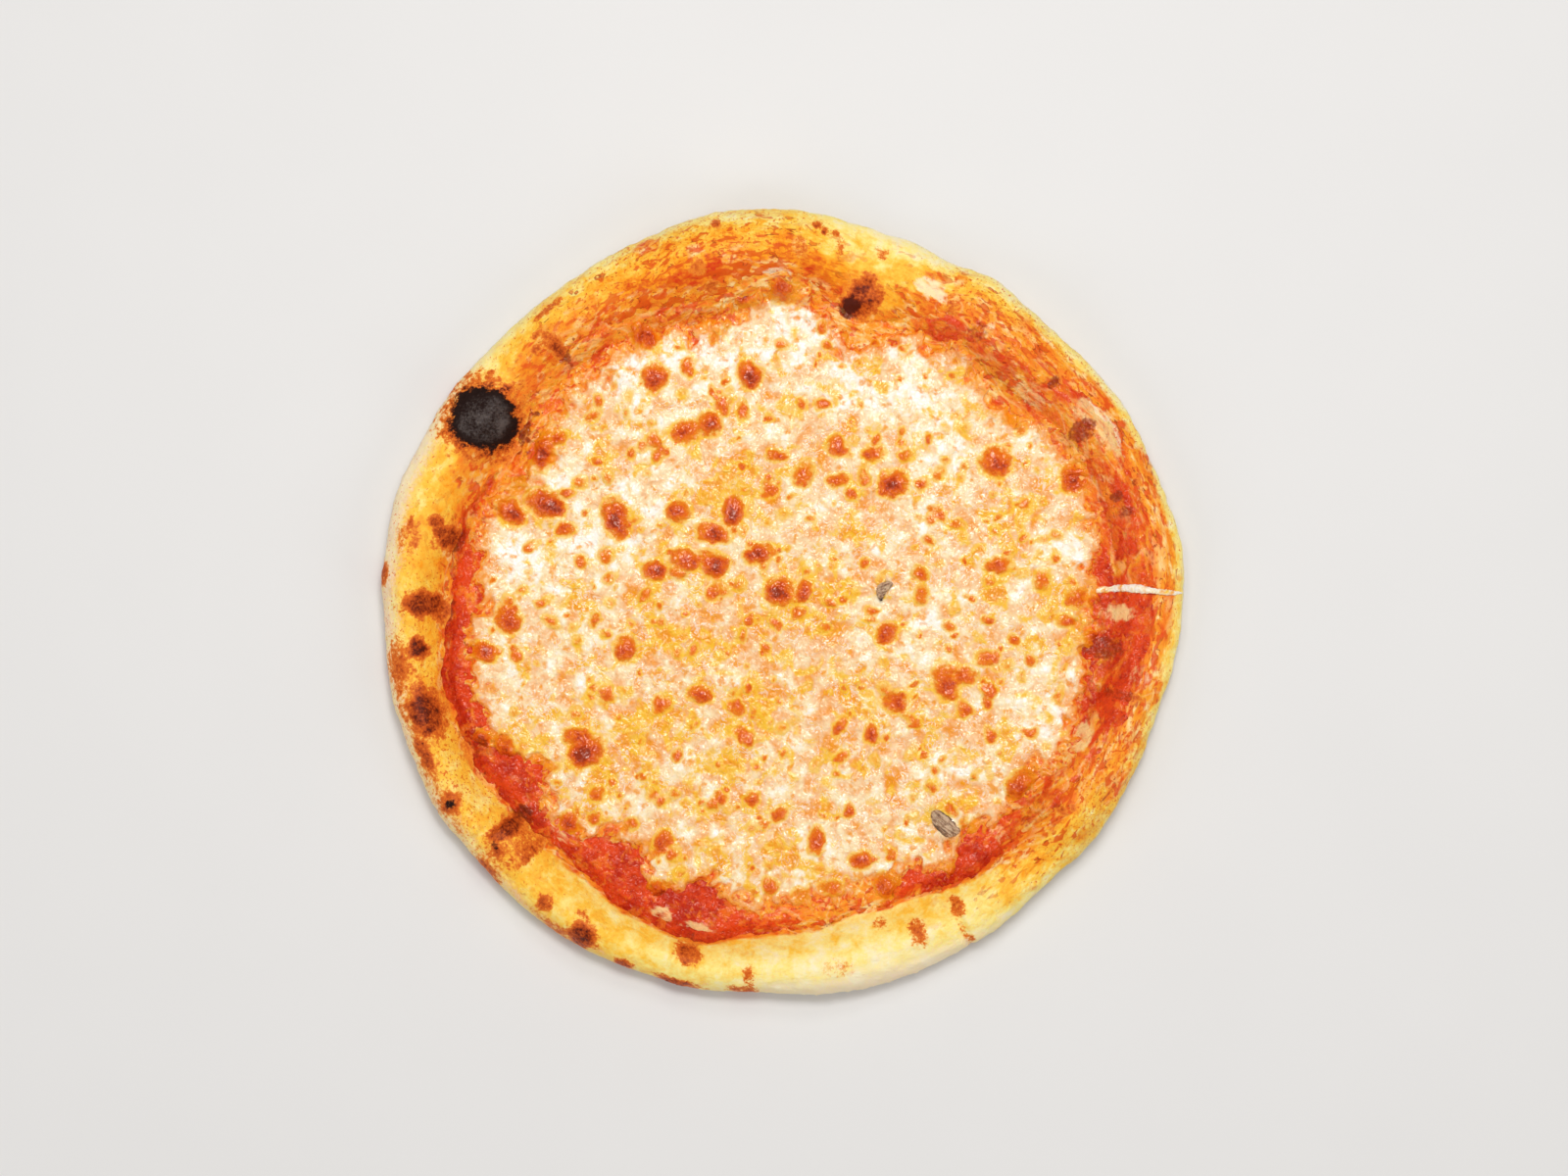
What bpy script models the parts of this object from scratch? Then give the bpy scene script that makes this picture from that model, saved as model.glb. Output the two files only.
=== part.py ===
"""A baked cheese pizza, about 300 mm across.

Five solids lie on each other: the dough with its puffed rim, a thin layer of tomato sauce, the
melted cheese with its browned bubbles, and two bits of mushroom on top of the cheese.

Sizes are in millimetres and angles in degrees, anticlockwise from +X seen from above. The mesh is
in metres, +Z up, with the origin on the surface the pizza rests on, under its middle.
"""

import math
import random

import bmesh
import bpy
from mathutils import Matrix, Vector, noise

MM = 0.001
TURN = 2 * math.pi

# The gap between solids that lie on each other, and the directions in which they are modelled.
GAP = 0.35
SPOKES = 108

# Values all round the pizza, one every 15 degrees, joined by a smooth closed curve.
OUTER_RADIUS = (
    150.5, 149.5, 147.0, 143.8, 143.2, 143.4, 147.8, 148.4, 144.8, 145.5, 148.8, 150.6,
    150.8, 151.4, 151.4, 151.6, 150.2, 148.8, 147.9, 148.0, 147.2, 145.6, 146.7, 147.2,
)
FOOT_RADIUS = (
    123.0, 123.0, 119.5, 113.0, 112.0, 112.0, 112.0, 110.0, 114.0, 117.0, 117.0, 123.0,
    127.0, 130.5, 131.0, 125.0, 128.5, 129.5, 124.0, 120.5, 121.0, 120.5, 118.0, 123.0,
)
RIM_HEIGHT = (
    13.5, 14.0, 15.5, 17.5, 16.5, 13.0, 20.0, 21.0, 17.5, 16.5, 17.0, 17.0,
    17.0, 17.5, 17.0, 17.0, 17.5, 17.0, 17.5, 17.5, 16.5, 15.5, 16.5, 14.0,
)
SAUCE_RADIUS = (
    139.0, 140.0, 138.5, 131.0, 126.0, 110.5, 125.0, 118.0, 124.0, 125.5, 117.0, 124.0,
    127.0, 131.2, 131.2, 126.0, 129.7, 131.6, 123.9, 120.8, 123.5, 126.0, 129.0, 136.7,
)
CHEESE_RADIUS = (
    123.0, 126.8, 123.0, 114.0, 117.0, 104.5, 121.3, 111.5, 118.3, 117.0, 112.0, 120.5,
    118.3, 123.1, 120.0, 122.0, 113.0, 115.5, 118.3, 117.0, 113.5, 119.4, 119.8, 121.3,
)

# Dough: the flat bed, the rim's section, and the round edge below its widest point.
BED_HEIGHT = 4.5
CREST_SHARE = 0.42
SWELL_STEEP, SWELL_SOFT, SWELL_POWER = 0.7, 0.3, 2.2
WIDEST_HEIGHT = 6.0
UNDERCUT = 7.0
BED_SHARES = (0.55, 0.93)
WALL_SHARES = (0.0, 0.16, 0.34, 0.54, 0.76, 1.0)
SHOULDER_ANGLES = (24, 46, 68, 90)
UNDER_ANGLES = (35, 90)
SOLE_SHARES = (0.5,)

# Knobs on the outline: direction, half width in degrees, and how far they stand out.
KNOBS = ((177, 3.5, 2.2), (57.5, 3.5, 3.0), (29, 3.0, 1.6), (70, 3.5, 1.4))

# Puffs, blisters and folds of the rim: direction, distance from the middle, radius, height.
CHARRED_BUBBLE = (148.5, 130.0, 13.5, 7.5)
SCORCHED_BLISTER = (75.8, 114.5, 10.0, 6.0)
PUFFS = (
    CHARRED_BUBBLE,
    SCORCHED_BLISTER,
    (98, 132, 34, 4.0),
    (50, 126, 26, 4.0),
    (30, 127, 17, 3.0),
    (128, 130, 18, 2.5),
    (324, 128, 22, 8.0),
    (221, 132, 12, 4.0),
    (178, 141, 11, 3.0),
    (169, 129, 7, 2.5),
    (198, 141, 12, 2.2),
    (210, 145, 9, 1.6),
    (239, 144, 9, 1.8),
    (254, 137, 9, 1.8),
    (292, 134, 9, 1.6),
    (342, 134, 15, 2.4),
    (298, 139, 6, -2.6),
    (214, 136, 8, -2.4),
    (142, 137, 8, -2.0),
    (76, 137, 12, -2.2),
)
RIM_WAVES = ((7, 0.7), (11, 0.6), (17, 0.5))
OUTLINE_WAVES = ((9, 0.5), (16, 0.4), (23, 0.3))

# Sauce: thickness under the cheese, what is added where it shows, its edge and its pulpy lumps.
SAUCE_THICKNESS = 1.2
SAUCE_SHOWN = 0.65
SAUCE_SHOWN_FROM = 1.0
SAUCE_SHOWN_RUN = 2.0
SAUCE_EDGE = 0.5
SAUCE_SLOPE = 3.0
SAUCE_RING_GAP = 0.5
SAUCE_LUMPS_HEIGHT = 0.35
SAUCE_LUMPS_LENGTH = 7.0

# Cheese: its thickness, its rounded edge, its waves, and how far it stays inside the sauce's edge.
CHEESE_THICKNESS = 2.3
CHEESE_EDGE = 0.8
CHEESE_SLOPE = 5.0
CHEESE_RING_GAP = 0.4
CHEESE_INSET = 1.6
CHEESE_WAVES_HEIGHT = 0.9
CHEESE_WAVES_LENGTH = 17.0

# Tongues of cheese that reach over the sauce, and bays where the sauce shows (negative).
FRINGE = (
    (3, 5, 3.0), (65, 5, 5.0), (92, 5, 2.0), (160, 6, 5.5), (188, 5, 3.5), (204.5, 6, 9.0),
    (215, 6, -7.0), (236, 7, -4.5), (246, 6, 9.0), (253, 5, -5.0), (265, 5, 4.0),
    (290, 5, 4.0), (301.5, 5, 9.0), (309, 5, -5.0), (336, 5, 4.0), (352, 5, -6.0),
)
FRINGE_WAVES = ((13, 1.0), (22, 0.9), (31, 0.7))
SAUCE_EDGE_WAVES = ((13, 0.5), (22, 0.5), (31, 0.4))

# Browned cheese bubbles: x, y and diameter of the large ones. The rest are strewn by a rule.
LARGE_BUBBLES = (
    (-48.5, 84.5, 8.5), (-13.0, 85.5, 8.5), (-32.0, 65.5, 11.5), (-90.0, 57.0, 8.5),
    (-89.5, 37.0, 10.5), (-103.0, 35.5, 8.5), (-63.0, 32.0, 10.5), (-19.0, 34.0, 6.5),
    (-26.5, 15.0, 8.0), (0.5, 4.5, 10.5), (-48.5, 12.5, 6.5), (-9.0, 18.5, 7.0),
    (-59.5, -17.5, 8.0), (-103.5, -6.0, 8.5), (-112.0, -18.5, 8.0), (-32.0, -34.5, 7.5),
    (-75.0, -54.5, 14.0), (-115.5, -53.0, 9.5), (-103.5, -55.5, 9.0), (38.5, -12.0, 8.0),
    (62.0, -29.5, 12.5), (79.5, 53.0, 9.5), (41.0, 44.0, 9.0), (19.0, 58.5, 8.0),
    (80.5, 14.5, 8.0), (98.5, 8.0, 8.5), (41.0, -38.0, 8.5), (12.5, -89.0, 7.0),
    (29.5, -97.0, 7.0), (-45.5, -89.5, 7.5), (-47.0, -110.5, 9.0), (62.5, -102.0, 8.5),
    (38.5, -107.0, 9.5), (54.5, -70.5, 7.5), (86.0, -68.5, 8.5), (-16.0, 115.5, 8.0),
    (-32.5, 109.5, 9.0), (-53.5, 100.5, 9.5), (110.5, 45.5, 9.0), (20.5, -50.5, 6.0),
)
BUBBLE_FLATNESS = 0.36
BUBBLE_SET = 0.15
BUBBLE_MARGIN = 0.6
BUBBLE_STEP = 0.995
BUBBLE_SINK = -0.5
BUBBLE_SEGMENTS = 8
BUBBLE_RINGS = 6
SMALL_BUBBLES = 14
SMALL_BUBBLE_SIZES = (4.5, 6.0)
SMALL_BUBBLE_REACH = 98.0
SMALL_BUBBLE_SPACING = 4.0

# A string of cheese drawn out over the sauce and the rim, along +X.
STRING_Y = 3.6
STRING_WIDTH = 3.8
STRING_THICKNESS = 1.1
STRING_OVERLAP = 2.5
STRING_END = 149.4
STRING_STEP = 2.2
STRING_WIDTH_WAVE = 0.15
STRING_STEP_DOWN = 1.4
STRING_DESCENT = 2.5
STRING_CLEAR = 0.6
STRING_SECTION = ((-1, 0), (0, 0), (1, 0), (0.62, 1), (-0.62, 1))

# Mushroom: x, y, direction of the long side, length, width, thickness, bend and depth of the notch.
MUSHROOM_SLICE = (59.9, -83.8, -40.0, 13.0, 7.5, 1.7, 0.35, 0.25)
MUSHROOM_SCRAP = (36.8, 4.8, 58.0, 8.0, 4.2, 1.5, -0.9, 0.1)
MUSHROOM_CLEAR = 9.0
MUSHROOM_LIFT = 0.5
MUSHROOM_SEGMENTS = 18
MUSHROOM_RINGS = ((0.5, 1.0), (1.0, 0.62))
NOTCH_AT, NOTCH_HALF = 250, 55

COLOURS = {
    "crust": ((0.87, 0.62, 0.30), 0.62),
    "tomato_sauce": ((0.62, 0.06, 0.02), 0.30),
    "melted_cheese": ((0.93, 0.74, 0.40), 0.34),
    "mushroom_slice": ((0.30, 0.22, 0.15), 0.55),
    "mushroom_scrap": ((0.20, 0.12, 0.08), 0.55),
}


def around(values, degrees):
    """A smooth closed curve through values that stand evenly round the pizza."""
    at = (degrees / 360.0) % 1.0 * len(values)
    first = int(at)
    t = at - first
    a, b, c, d = (values[(first + step) % len(values)] for step in (-1, 0, 1, 2))
    return b + 0.5 * t * (c - a + t * (2 * a - 5 * b + 4 * c - d + t * (3 * (b - c) + d - a)))


def waves(degrees, parts, seed):
    """A sum of waves round the pizza, given as (how many in a turn, height)."""
    draw = random.Random(seed)
    return sum(
        height * math.sin(math.radians(count * degrees) + draw.uniform(0, TURN))
        for count, height in parts
    )


def bump(distance, radius):
    """1 in the middle, 0 from the radius outwards, smooth at both."""
    share = min(abs(distance) / radius, 1.0)
    return (1 - share * share) ** 2


def smooth(share):
    return share * share * (3 - 2 * share)


def clamp(share):
    return min(max(share, 0.0), 1.0)


def turn_between(degrees, other):
    """The signed angle from one direction to the other, within half a turn."""
    return (degrees - other + 180.0) % 360.0 - 180.0


def place(degrees, radius):
    angle = math.radians(degrees)
    return radius * math.cos(angle), radius * math.sin(angle)


def outer_radius(degrees):
    knobs = sum(reach * bump(turn_between(degrees, at), half) for at, half, reach in KNOBS)
    return around(OUTER_RADIUS, degrees) + waves(degrees, OUTLINE_WAVES, 1) + knobs


def puff_height(x, y):
    """What the puffs and folds add to the dough at a point."""
    height = 0.0
    for degrees, radius, size, rise in PUFFS:
        px, py = place(degrees, radius)
        height += rise * bump(math.hypot(x - px, y - py), size)
    return height


def dough_top(degrees, radius):
    """Height of the dough's upper side, from the middle to its widest point."""
    outer, foot = outer_radius(degrees), around(FOOT_RADIUS, degrees)
    crest = outer - CREST_SHARE * (outer - foot)
    rise = around(RIM_HEIGHT, degrees) + waves(degrees, RIM_WAVES, 2)
    if radius <= foot:
        height, fade = BED_HEIGHT, 1.0
    elif radius <= crest:
        share = (radius - foot) / (crest - foot)
        swell = SWELL_STEEP * (1 - (1 - share) ** SWELL_POWER) + SWELL_SOFT * smooth(share)
        height, fade = BED_HEIGHT + (rise - BED_HEIGHT) * swell, 1.0
    else:
        share = min((radius - crest) / (outer - crest), 1.0)
        fade = math.sqrt(1 - share * share)
        height = WIDEST_HEIGHT + (rise - WIDEST_HEIGHT) * fade
    return height + fade * puff_height(*place(degrees, radius))


def dough_profile(degrees):
    """The dough's upper side in one direction: (radius, height) pairs from the middle outwards."""
    outer, foot = outer_radius(degrees), around(FOOT_RADIUS, degrees)
    crest = outer - CREST_SHARE * (outer - foot)
    radii = [share * foot for share in BED_SHARES]
    radii += [foot + share * (crest - foot) for share in WALL_SHARES]
    radii += [crest + (outer - crest) * math.sin(math.radians(a)) for a in SHOULDER_ANGLES]
    return [(radius, dough_top(degrees, radius)) for radius in radii]


def under_profile(degrees):
    """From the widest point down to the flat sole and inwards."""
    outer = outer_radius(degrees)
    pairs = []
    for angle in UNDER_ANGLES:
        turned = math.radians(angle)
        radius = outer - UNDERCUT * (1 - math.cos(turned))
        pairs.append((radius, WIDEST_HEIGHT * (1 - math.sin(turned))))
    return pairs + [(share * (outer - UNDERCUT), 0.0) for share in SOLE_SHARES]


def read_profile(profile, radius):
    """Height on the straight runs between a profile's points, as the faces of the mesh lie."""
    if radius <= profile[0][0]:
        return profile[0][1]
    for (r0, z0), (r1, z1) in zip(profile, profile[1:]):
        if radius <= r1:
            return z0 + (z1 - z0) * (radius - r0) / (r1 - r0)
    return profile[-1][1]


def stations_to(profile, edge, spare):
    """A profile's radii up to an edge. Those beyond it gather just inside it, so rings keep apart."""
    radii = [radius for radius, _ in profile[: len(BED_SHARES) + len(WALL_SHARES)]]
    last = len(radii) - 1
    return [min(radius, edge - (last - i + 1) * spare) for i, radius in enumerate(radii)] + [edge]


def sauce_edge(degrees):
    return around(SAUCE_RADIUS, degrees) + waves(degrees, SAUCE_EDGE_WAVES, 3)


def cheese_edge(degrees):
    fringe = sum(reach * bump(turn_between(degrees, at), half) for at, half, reach in FRINGE)
    edge = around(CHEESE_RADIUS, degrees) + waves(degrees, FRINGE_WAVES, 4) + fringe
    return min(edge, sauce_edge(degrees) - CHEESE_INSET)


def lumps(x, y, length, seed):
    return noise.noise(Vector((x / length, y / length, 10.0 * seed)))


def sauce_thickness(degrees, radius):
    inside = clamp((sauce_edge(degrees) - radius) / SAUCE_SLOPE)
    shown = clamp((radius - cheese_edge(degrees) - SAUCE_SHOWN_FROM) / SAUCE_SHOWN_RUN)
    pulp = SAUCE_LUMPS_HEIGHT * lumps(*place(degrees, radius), SAUCE_LUMPS_LENGTH, 1)
    full = SAUCE_THICKNESS + shown * (SAUCE_SHOWN + pulp)
    return SAUCE_EDGE + (full - SAUCE_EDGE) * inside


def cheese_thickness(degrees, radius):
    inside = clamp((cheese_edge(degrees) - radius) / CHEESE_SLOPE)
    wave = CHEESE_WAVES_HEIGHT * lumps(*place(degrees, radius), CHEESE_WAVES_LENGTH, 2)
    swell = CHEESE_THICKNESS + wave
    return CHEESE_EDGE + (swell - CHEESE_EDGE) * math.sqrt(inside * (2 - inside))


def closed_solid(name, top_z, rings, bottom_z):
    """A closed mesh from rings of points, from the top's middle outwards and back underneath.

    A four-sided patch of the upper side is split along its lower diagonal and one of the under side
    along its higher one, so that the faces of two layers that lie on each other keep apart.
    """
    mesh = bmesh.new()
    top = mesh.verts.new(Vector((0, 0, top_z)) * MM)
    loops = [[mesh.verts.new(Vector(point) * MM) for point in ring] for ring in rings]
    bottom = mesh.verts.new(Vector((0, 0, bottom_z)) * MM)
    for i in range(SPOKES):
        j = (i + 1) % SPOKES
        mesh.faces.new((top, loops[0][i], loops[0][j]))
        for near, far in zip(loops, loops[1:]):
            rising = near[i].co.z + far[j].co.z - near[j].co.z - far[i].co.z
            outwards = far[i].co.xy.length > near[i].co.xy.length
            if (rising < 0) == outwards:
                mesh.faces.new((near[i], far[i], far[j]))
                mesh.faces.new((near[i], far[j], near[j]))
            else:
                mesh.faces.new((near[i], far[i], near[j]))
                mesh.faces.new((near[j], far[i], far[j]))
        mesh.faces.new((bottom, loops[-1][j], loops[-1][i]))
    return finish_object(name, mesh)


def finish_object(name, mesh):
    data = bpy.data.meshes.new(name)
    mesh.to_mesh(data)
    mesh.free()
    data.shade_smooth()
    made = bpy.data.objects.new(name, data)
    bpy.context.scene.collection.objects.link(made)
    if name in COLOURS:
        made.data.materials.append(plain_material(name, *COLOURS[name]))
    return made


def plain_material(name, colour, roughness):
    material = bpy.data.materials.new(name)
    material.use_nodes = True
    shader = material.node_tree.nodes["Principled BSDF"]
    shader.inputs["Base Color"].default_value = (*colour, 1.0)
    shader.inputs["Roughness"].default_value = roughness
    shader.inputs["Metallic"].default_value = 0.0
    return material


class Pizza:
    """The layers' heights along each spoke, which the solids share."""

    def __init__(self):
        self.degrees = [360.0 * i / SPOKES for i in range(SPOKES)]
        self.dough = [dough_profile(d) for d in self.degrees]
        self.sauce_top, self.sauce_bottom = self.layer(
            self.dough, sauce_edge, sauce_thickness, SAUCE_RING_GAP
        )
        self.cheese_top, self.cheese_bottom = self.layer(
            self.sauce_top, cheese_edge, cheese_thickness, CHEESE_RING_GAP
        )

    def layer(self, under, edge, thickness, spare):
        """A layer on what lies under it: for each spoke its upper and lower side."""
        tops, bottoms = [], []
        for d, dough, below in zip(self.degrees, self.dough, under):
            radii = stations_to(dough, edge(d), spare)
            bottom = [(r, read_profile(below, r) + GAP) for r in radii]
            bottoms.append(bottom)
            tops.append([(r, z + thickness(d, r)) for r, z in bottom])
        return tops, bottoms

    def rings(self, profiles):
        """The profiles of all spokes as rings of points, from the middle outwards."""
        count = len(profiles[0])
        return [
            [(*place(d, profile[i][0]), profile[i][1]) for d, profile in zip(self.degrees, profiles)]
            for i in range(count)
        ]

    def spoke_surface(self, spoke, radius):
        """Height of the cheese on one spoke and, past its edge, of a thin skin on the sauce."""
        if radius <= self.cheese_top[spoke][-1][0]:
            return read_profile(self.cheese_top[spoke], radius)
        return read_profile(self.sauce_top[spoke], radius) + GAP + CHEESE_EDGE

    def cheese_surface(self, x, y):
        """Height of the cheese's upper side at a point."""
        spoke = (math.degrees(math.atan2(y, x)) % 360.0) / 360.0 * SPOKES
        first = int(spoke) % SPOKES
        share = spoke - int(spoke)
        radius = math.hypot(x, y)
        near, far = self.spoke_surface(first, radius), self.spoke_surface((first + 1) % SPOKES, radius)
        return (1 - share) * near + share * far

    def make_dough(self):
        under = [under_profile(d) for d in self.degrees]
        closed_solid("crust", BED_HEIGHT, self.rings(self.dough) + self.rings(under), 0.0)

    def make_layer(self, name, tops, bottoms):
        inwards = self.rings(bottoms)[::-1]
        return closed_solid(name, tops[0][0][1], self.rings(tops) + inwards, bottoms[0][0][1])


def strewn_bubbles(taken):
    """Small bubbles strewn over the cheese, clear of the large ones and of the mushroom."""
    draw = random.Random(5)
    found = []
    while len(found) < SMALL_BUBBLES:
        radius = SMALL_BUBBLE_REACH * math.sqrt(draw.random())
        x, y = place(draw.uniform(0, 360), radius)
        size = draw.uniform(*SMALL_BUBBLE_SIZES)
        if clear_of(taken + found, x, y, size):
            found.append((x, y, size))
    return found


def clear_of(others, x, y, size):
    return all(
        math.hypot(x - a, y - b) > (size + d) / 2 + SMALL_BUBBLE_SPACING for a, b, d in others
    )


def reaches_over(x, y, size):
    """Whether a bubble of that size would pass the cheese's edge."""
    for i in range(BUBBLE_SEGMENTS):
        across, along = place(360.0 * i / BUBBLE_SEGMENTS, size / 2)
        degrees = math.degrees(math.atan2(y + along, x + across))
        if math.hypot(x + across, y + along) > cheese_edge(degrees) - BUBBLE_MARGIN:
            return True
    return False


def bubble(pizza, x, y, size):
    """A low dome that follows the cheese under it, moved inwards until it is all on the cheese."""
    while reaches_over(x, y, size):
        x, y = x * BUBBLE_STEP, y * BUBBLE_STEP
    mesh = bmesh.new()
    bmesh.ops.create_uvsphere(
        mesh, u_segments=BUBBLE_SEGMENTS, v_segments=BUBBLE_RINGS, radius=size / 2
    )
    bmesh.ops.rotate(mesh, matrix=Matrix.Rotation(x + y, 3, "Z"), verts=mesh.verts)
    for vertex in mesh.verts:
        across, along, up = vertex.co
        lift = max(up * BUBBLE_FLATNESS - BUBBLE_SET, BUBBLE_SINK)
        height = pizza.cheese_surface(x + across, y + along) + lift
        vertex.co = Vector((x + across, y + along, height)) * MM
    return finish_object("bubble", mesh)


def cheese_string(pizza):
    """The string of cheese, from inside the cheese's edge over sauce and rim."""
    degrees = math.degrees(STRING_Y / cheese_edge(0.0))
    start = cheese_edge(degrees) - STRING_OVERLAP
    step_down = sauce_edge(degrees) + STRING_STEP_DOWN
    on_sauce = SAUCE_THICKNESS + SAUCE_SHOWN + GAP
    count = int((STRING_END - start) / STRING_STEP)
    mesh = bmesh.new()
    loops = []
    for i in range(count + 1):
        radius = start + (STRING_END - start) * i / count
        below = on_sauce * (1 - clamp((radius - step_down) / STRING_DESCENT)) + STRING_CLEAR
        half = STRING_WIDTH / 2 * (1 + STRING_WIDTH_WAVE * math.sin(radius))
        loops.append([])
        for across, lift in STRING_SECTION:
            y = STRING_Y + across * half
            dough = dough_top(math.degrees(math.atan2(y, radius)), math.hypot(radius, y))
            point = Vector((radius, y, dough + below + lift * STRING_THICKNESS))
            loops[-1].append(mesh.verts.new(point * MM))
    for near, far in zip(loops, loops[1:]):
        for i in range(len(near)):
            mesh.faces.new((near[i - 1], near[i], far[i], far[i - 1]))
    mesh.faces.new(loops[0])
    mesh.faces.new(loops[-1])
    bmesh.ops.recalc_face_normals(mesh, faces=mesh.faces[:])
    bmesh.ops.triangulate(mesh, faces=mesh.faces[:])
    return finish_object("string", mesh)


def fuse(base, pieces):
    """Joins the pieces to the base with one Boolean union, then removes them."""
    group = bpy.data.collections.new("fused")
    bpy.context.scene.collection.children.link(group)
    for piece in pieces:
        bpy.context.scene.collection.objects.unlink(piece)
        group.objects.link(piece)
    union = base.modifiers.new("union", "BOOLEAN")
    union.operation = "UNION"
    union.operand_type = "COLLECTION"
    union.collection = group
    union.solver = "EXACT"
    bpy.context.view_layer.objects.active = base
    bpy.ops.object.modifier_apply(modifier=union.name)
    for piece in pieces:
        bpy.data.objects.remove(piece)
    bpy.data.collections.remove(group)


def mushroom(pizza, name, size):
    """A thin bit of mushroom that lies on the cheese: an oval with a notch, bent lengthways."""
    x0, y0, degrees, length, width, thickness, bend, notch = size
    turn = Matrix.Rotation(math.radians(degrees), 2)
    mesh = bmesh.new()

    def vertex(u, v, height):
        x, y = Vector((x0, y0)) + turn @ Vector((u, v))
        z = pizza.cheese_surface(x, y) + MUSHROOM_LIFT + height
        return mesh.verts.new(Vector((x, y, z)) * MM)

    rims = []
    for height in (thickness, 0.0):
        middle = vertex(0, 0, height)
        loops = []
        for share, thinned in MUSHROOM_RINGS:
            loops.append([])
            for i in range(MUSHROOM_SEGMENTS):
                angle = TURN * i / MUSHROOM_SEGMENTS
                dent = 1 - notch * bump(turn_between(math.degrees(angle), NOTCH_AT), NOTCH_HALF)
                u = length / 2 * share * dent * math.cos(angle)
                v = width / 2 * share * dent * math.sin(angle) + bend * u * u / length
                loops[-1].append(vertex(u, v, height * thinned))
        for i in range(MUSHROOM_SEGMENTS):
            mesh.faces.new((middle, loops[0][i - 1], loops[0][i]))
            mesh.faces.new((loops[0][i - 1], loops[1][i - 1], loops[1][i], loops[0][i]))
        rims.append(loops[-1])
    for i in range(MUSHROOM_SEGMENTS):
        mesh.faces.new((rims[0][i - 1], rims[1][i - 1], rims[1][i], rims[0][i]))
    bmesh.ops.recalc_face_normals(mesh, faces=mesh.faces[:])
    bmesh.ops.triangulate(mesh, faces=mesh.faces[:])
    return finish_object(name, mesh)


def centre_over_origin():
    """Moves everything so that the crust's outline is centred on the origin."""
    crust = bpy.data.objects["crust"]
    xs = [v.co.x for v in crust.data.vertices]
    ys = [v.co.y for v in crust.data.vertices]
    shift = Vector((-(min(xs) + max(xs)) / 2, -(min(ys) + max(ys)) / 2, 0))
    for made in bpy.context.scene.objects:
        made.data.transform(Matrix.Translation(shift))


def main():
    for old in list(bpy.data.objects):
        bpy.data.objects.remove(old)
    pizza = Pizza()
    pizza.make_dough()
    pizza.make_layer("tomato_sauce", pizza.sauce_top, pizza.sauce_bottom)
    cheese = pizza.make_layer("melted_cheese", pizza.cheese_top, pizza.cheese_bottom)
    clear = [(size[0], size[1], MUSHROOM_CLEAR) for size in (MUSHROOM_SLICE, MUSHROOM_SCRAP)]
    small = strewn_bubbles(list(LARGE_BUBBLES) + clear)
    bubbles = [bubble(pizza, *row) for row in list(LARGE_BUBBLES) + small]
    fuse(cheese, bubbles + [cheese_string(pizza)])
    mushroom(pizza, "mushroom_slice", MUSHROOM_SLICE)
    mushroom(pizza, "mushroom_scrap", MUSHROOM_SCRAP)
    centre_over_origin()


main()
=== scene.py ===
"""The looks of a baked cheese pizza: browned dough, tomato sauce, melted cheese and mushroom.

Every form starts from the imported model, read by rays, and gets its fine relief and colours here.
Lengths inside the making are in millimetres. Angles are in degrees, anticlockwise from +X.
"""

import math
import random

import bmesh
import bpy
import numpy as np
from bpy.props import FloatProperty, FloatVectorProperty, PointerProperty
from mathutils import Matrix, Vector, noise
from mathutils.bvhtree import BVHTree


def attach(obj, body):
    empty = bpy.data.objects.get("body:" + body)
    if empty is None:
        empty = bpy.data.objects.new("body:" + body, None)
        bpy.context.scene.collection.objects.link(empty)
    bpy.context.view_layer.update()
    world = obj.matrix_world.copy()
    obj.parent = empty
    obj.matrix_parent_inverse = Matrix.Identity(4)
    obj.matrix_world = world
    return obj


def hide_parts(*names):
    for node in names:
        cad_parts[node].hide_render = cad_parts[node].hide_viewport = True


bl_info = {
    "name": "Cheese Pizza",
    "version": (1, 0, 0),
    "blender": (4, 5, 0),
    "location": "3D View > Sidebar > Pizza",
    "description": "Dresses the packed pizza with browned dough, sauce, melted cheese and mushroom",
    "category": "Add Mesh",
}

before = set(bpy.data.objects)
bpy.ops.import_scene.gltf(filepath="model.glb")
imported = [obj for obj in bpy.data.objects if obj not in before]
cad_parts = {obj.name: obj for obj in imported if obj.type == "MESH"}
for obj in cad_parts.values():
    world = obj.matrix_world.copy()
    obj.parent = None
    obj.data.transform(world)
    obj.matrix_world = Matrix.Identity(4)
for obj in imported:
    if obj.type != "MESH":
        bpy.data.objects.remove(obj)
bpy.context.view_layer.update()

MM = 0.001
BODY = "root"

# The photograph: its scale, the pixel over the model's origin, the column that the marks are read
# from and the pixel at its middle.
MM_PER_PIXEL = 0.3675
ORIGIN_PIXEL = (798.0, 614.0)
MARKS_COLUMN = 800.0
MIDDLE_PIXEL = (800.0, 600.0)
FRAME_PIXELS = 1600

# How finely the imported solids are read, and how finely the dressed pieces are made.
READ_DIRECTIONS = 216
DIRECTIONS = 1080
READ_STEP = 1.0
READ_REACH = 152.0
RIM_CORE = 12.0
RIM_CORE_HEIGHT = 6.0
TOPPED_RADIUS = 104.0
SAUCE_START = 92.0
# The radii that patterns are wound on: the skin's, the smaller the longer its streaks along the rim,
# and those of the ragged edges of the sauce and the cheese.
RIM_WINDING = 60.0
SAUCE_WINDING = 130.0
CHEESE_WINDING = 120.0


def rgb(red, green, blue):
    """A colour as its 0 to 255 display values, turned into the linear values that shaders take."""
    shares = [value / 255 for value in (red, green, blue)]
    return tuple(((s + 0.055) / 1.055) ** 2.4 if s > 0.04045 else s / 12.92 for s in shares)


def colour(text, red, green, blue):
    return FloatVectorProperty(
        name=text, description=f"Colour of the {text.lower()}", subtype="COLOR", size=3,
        min=0.0, max=1.0, default=rgb(red, green, blue),
    )


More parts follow.
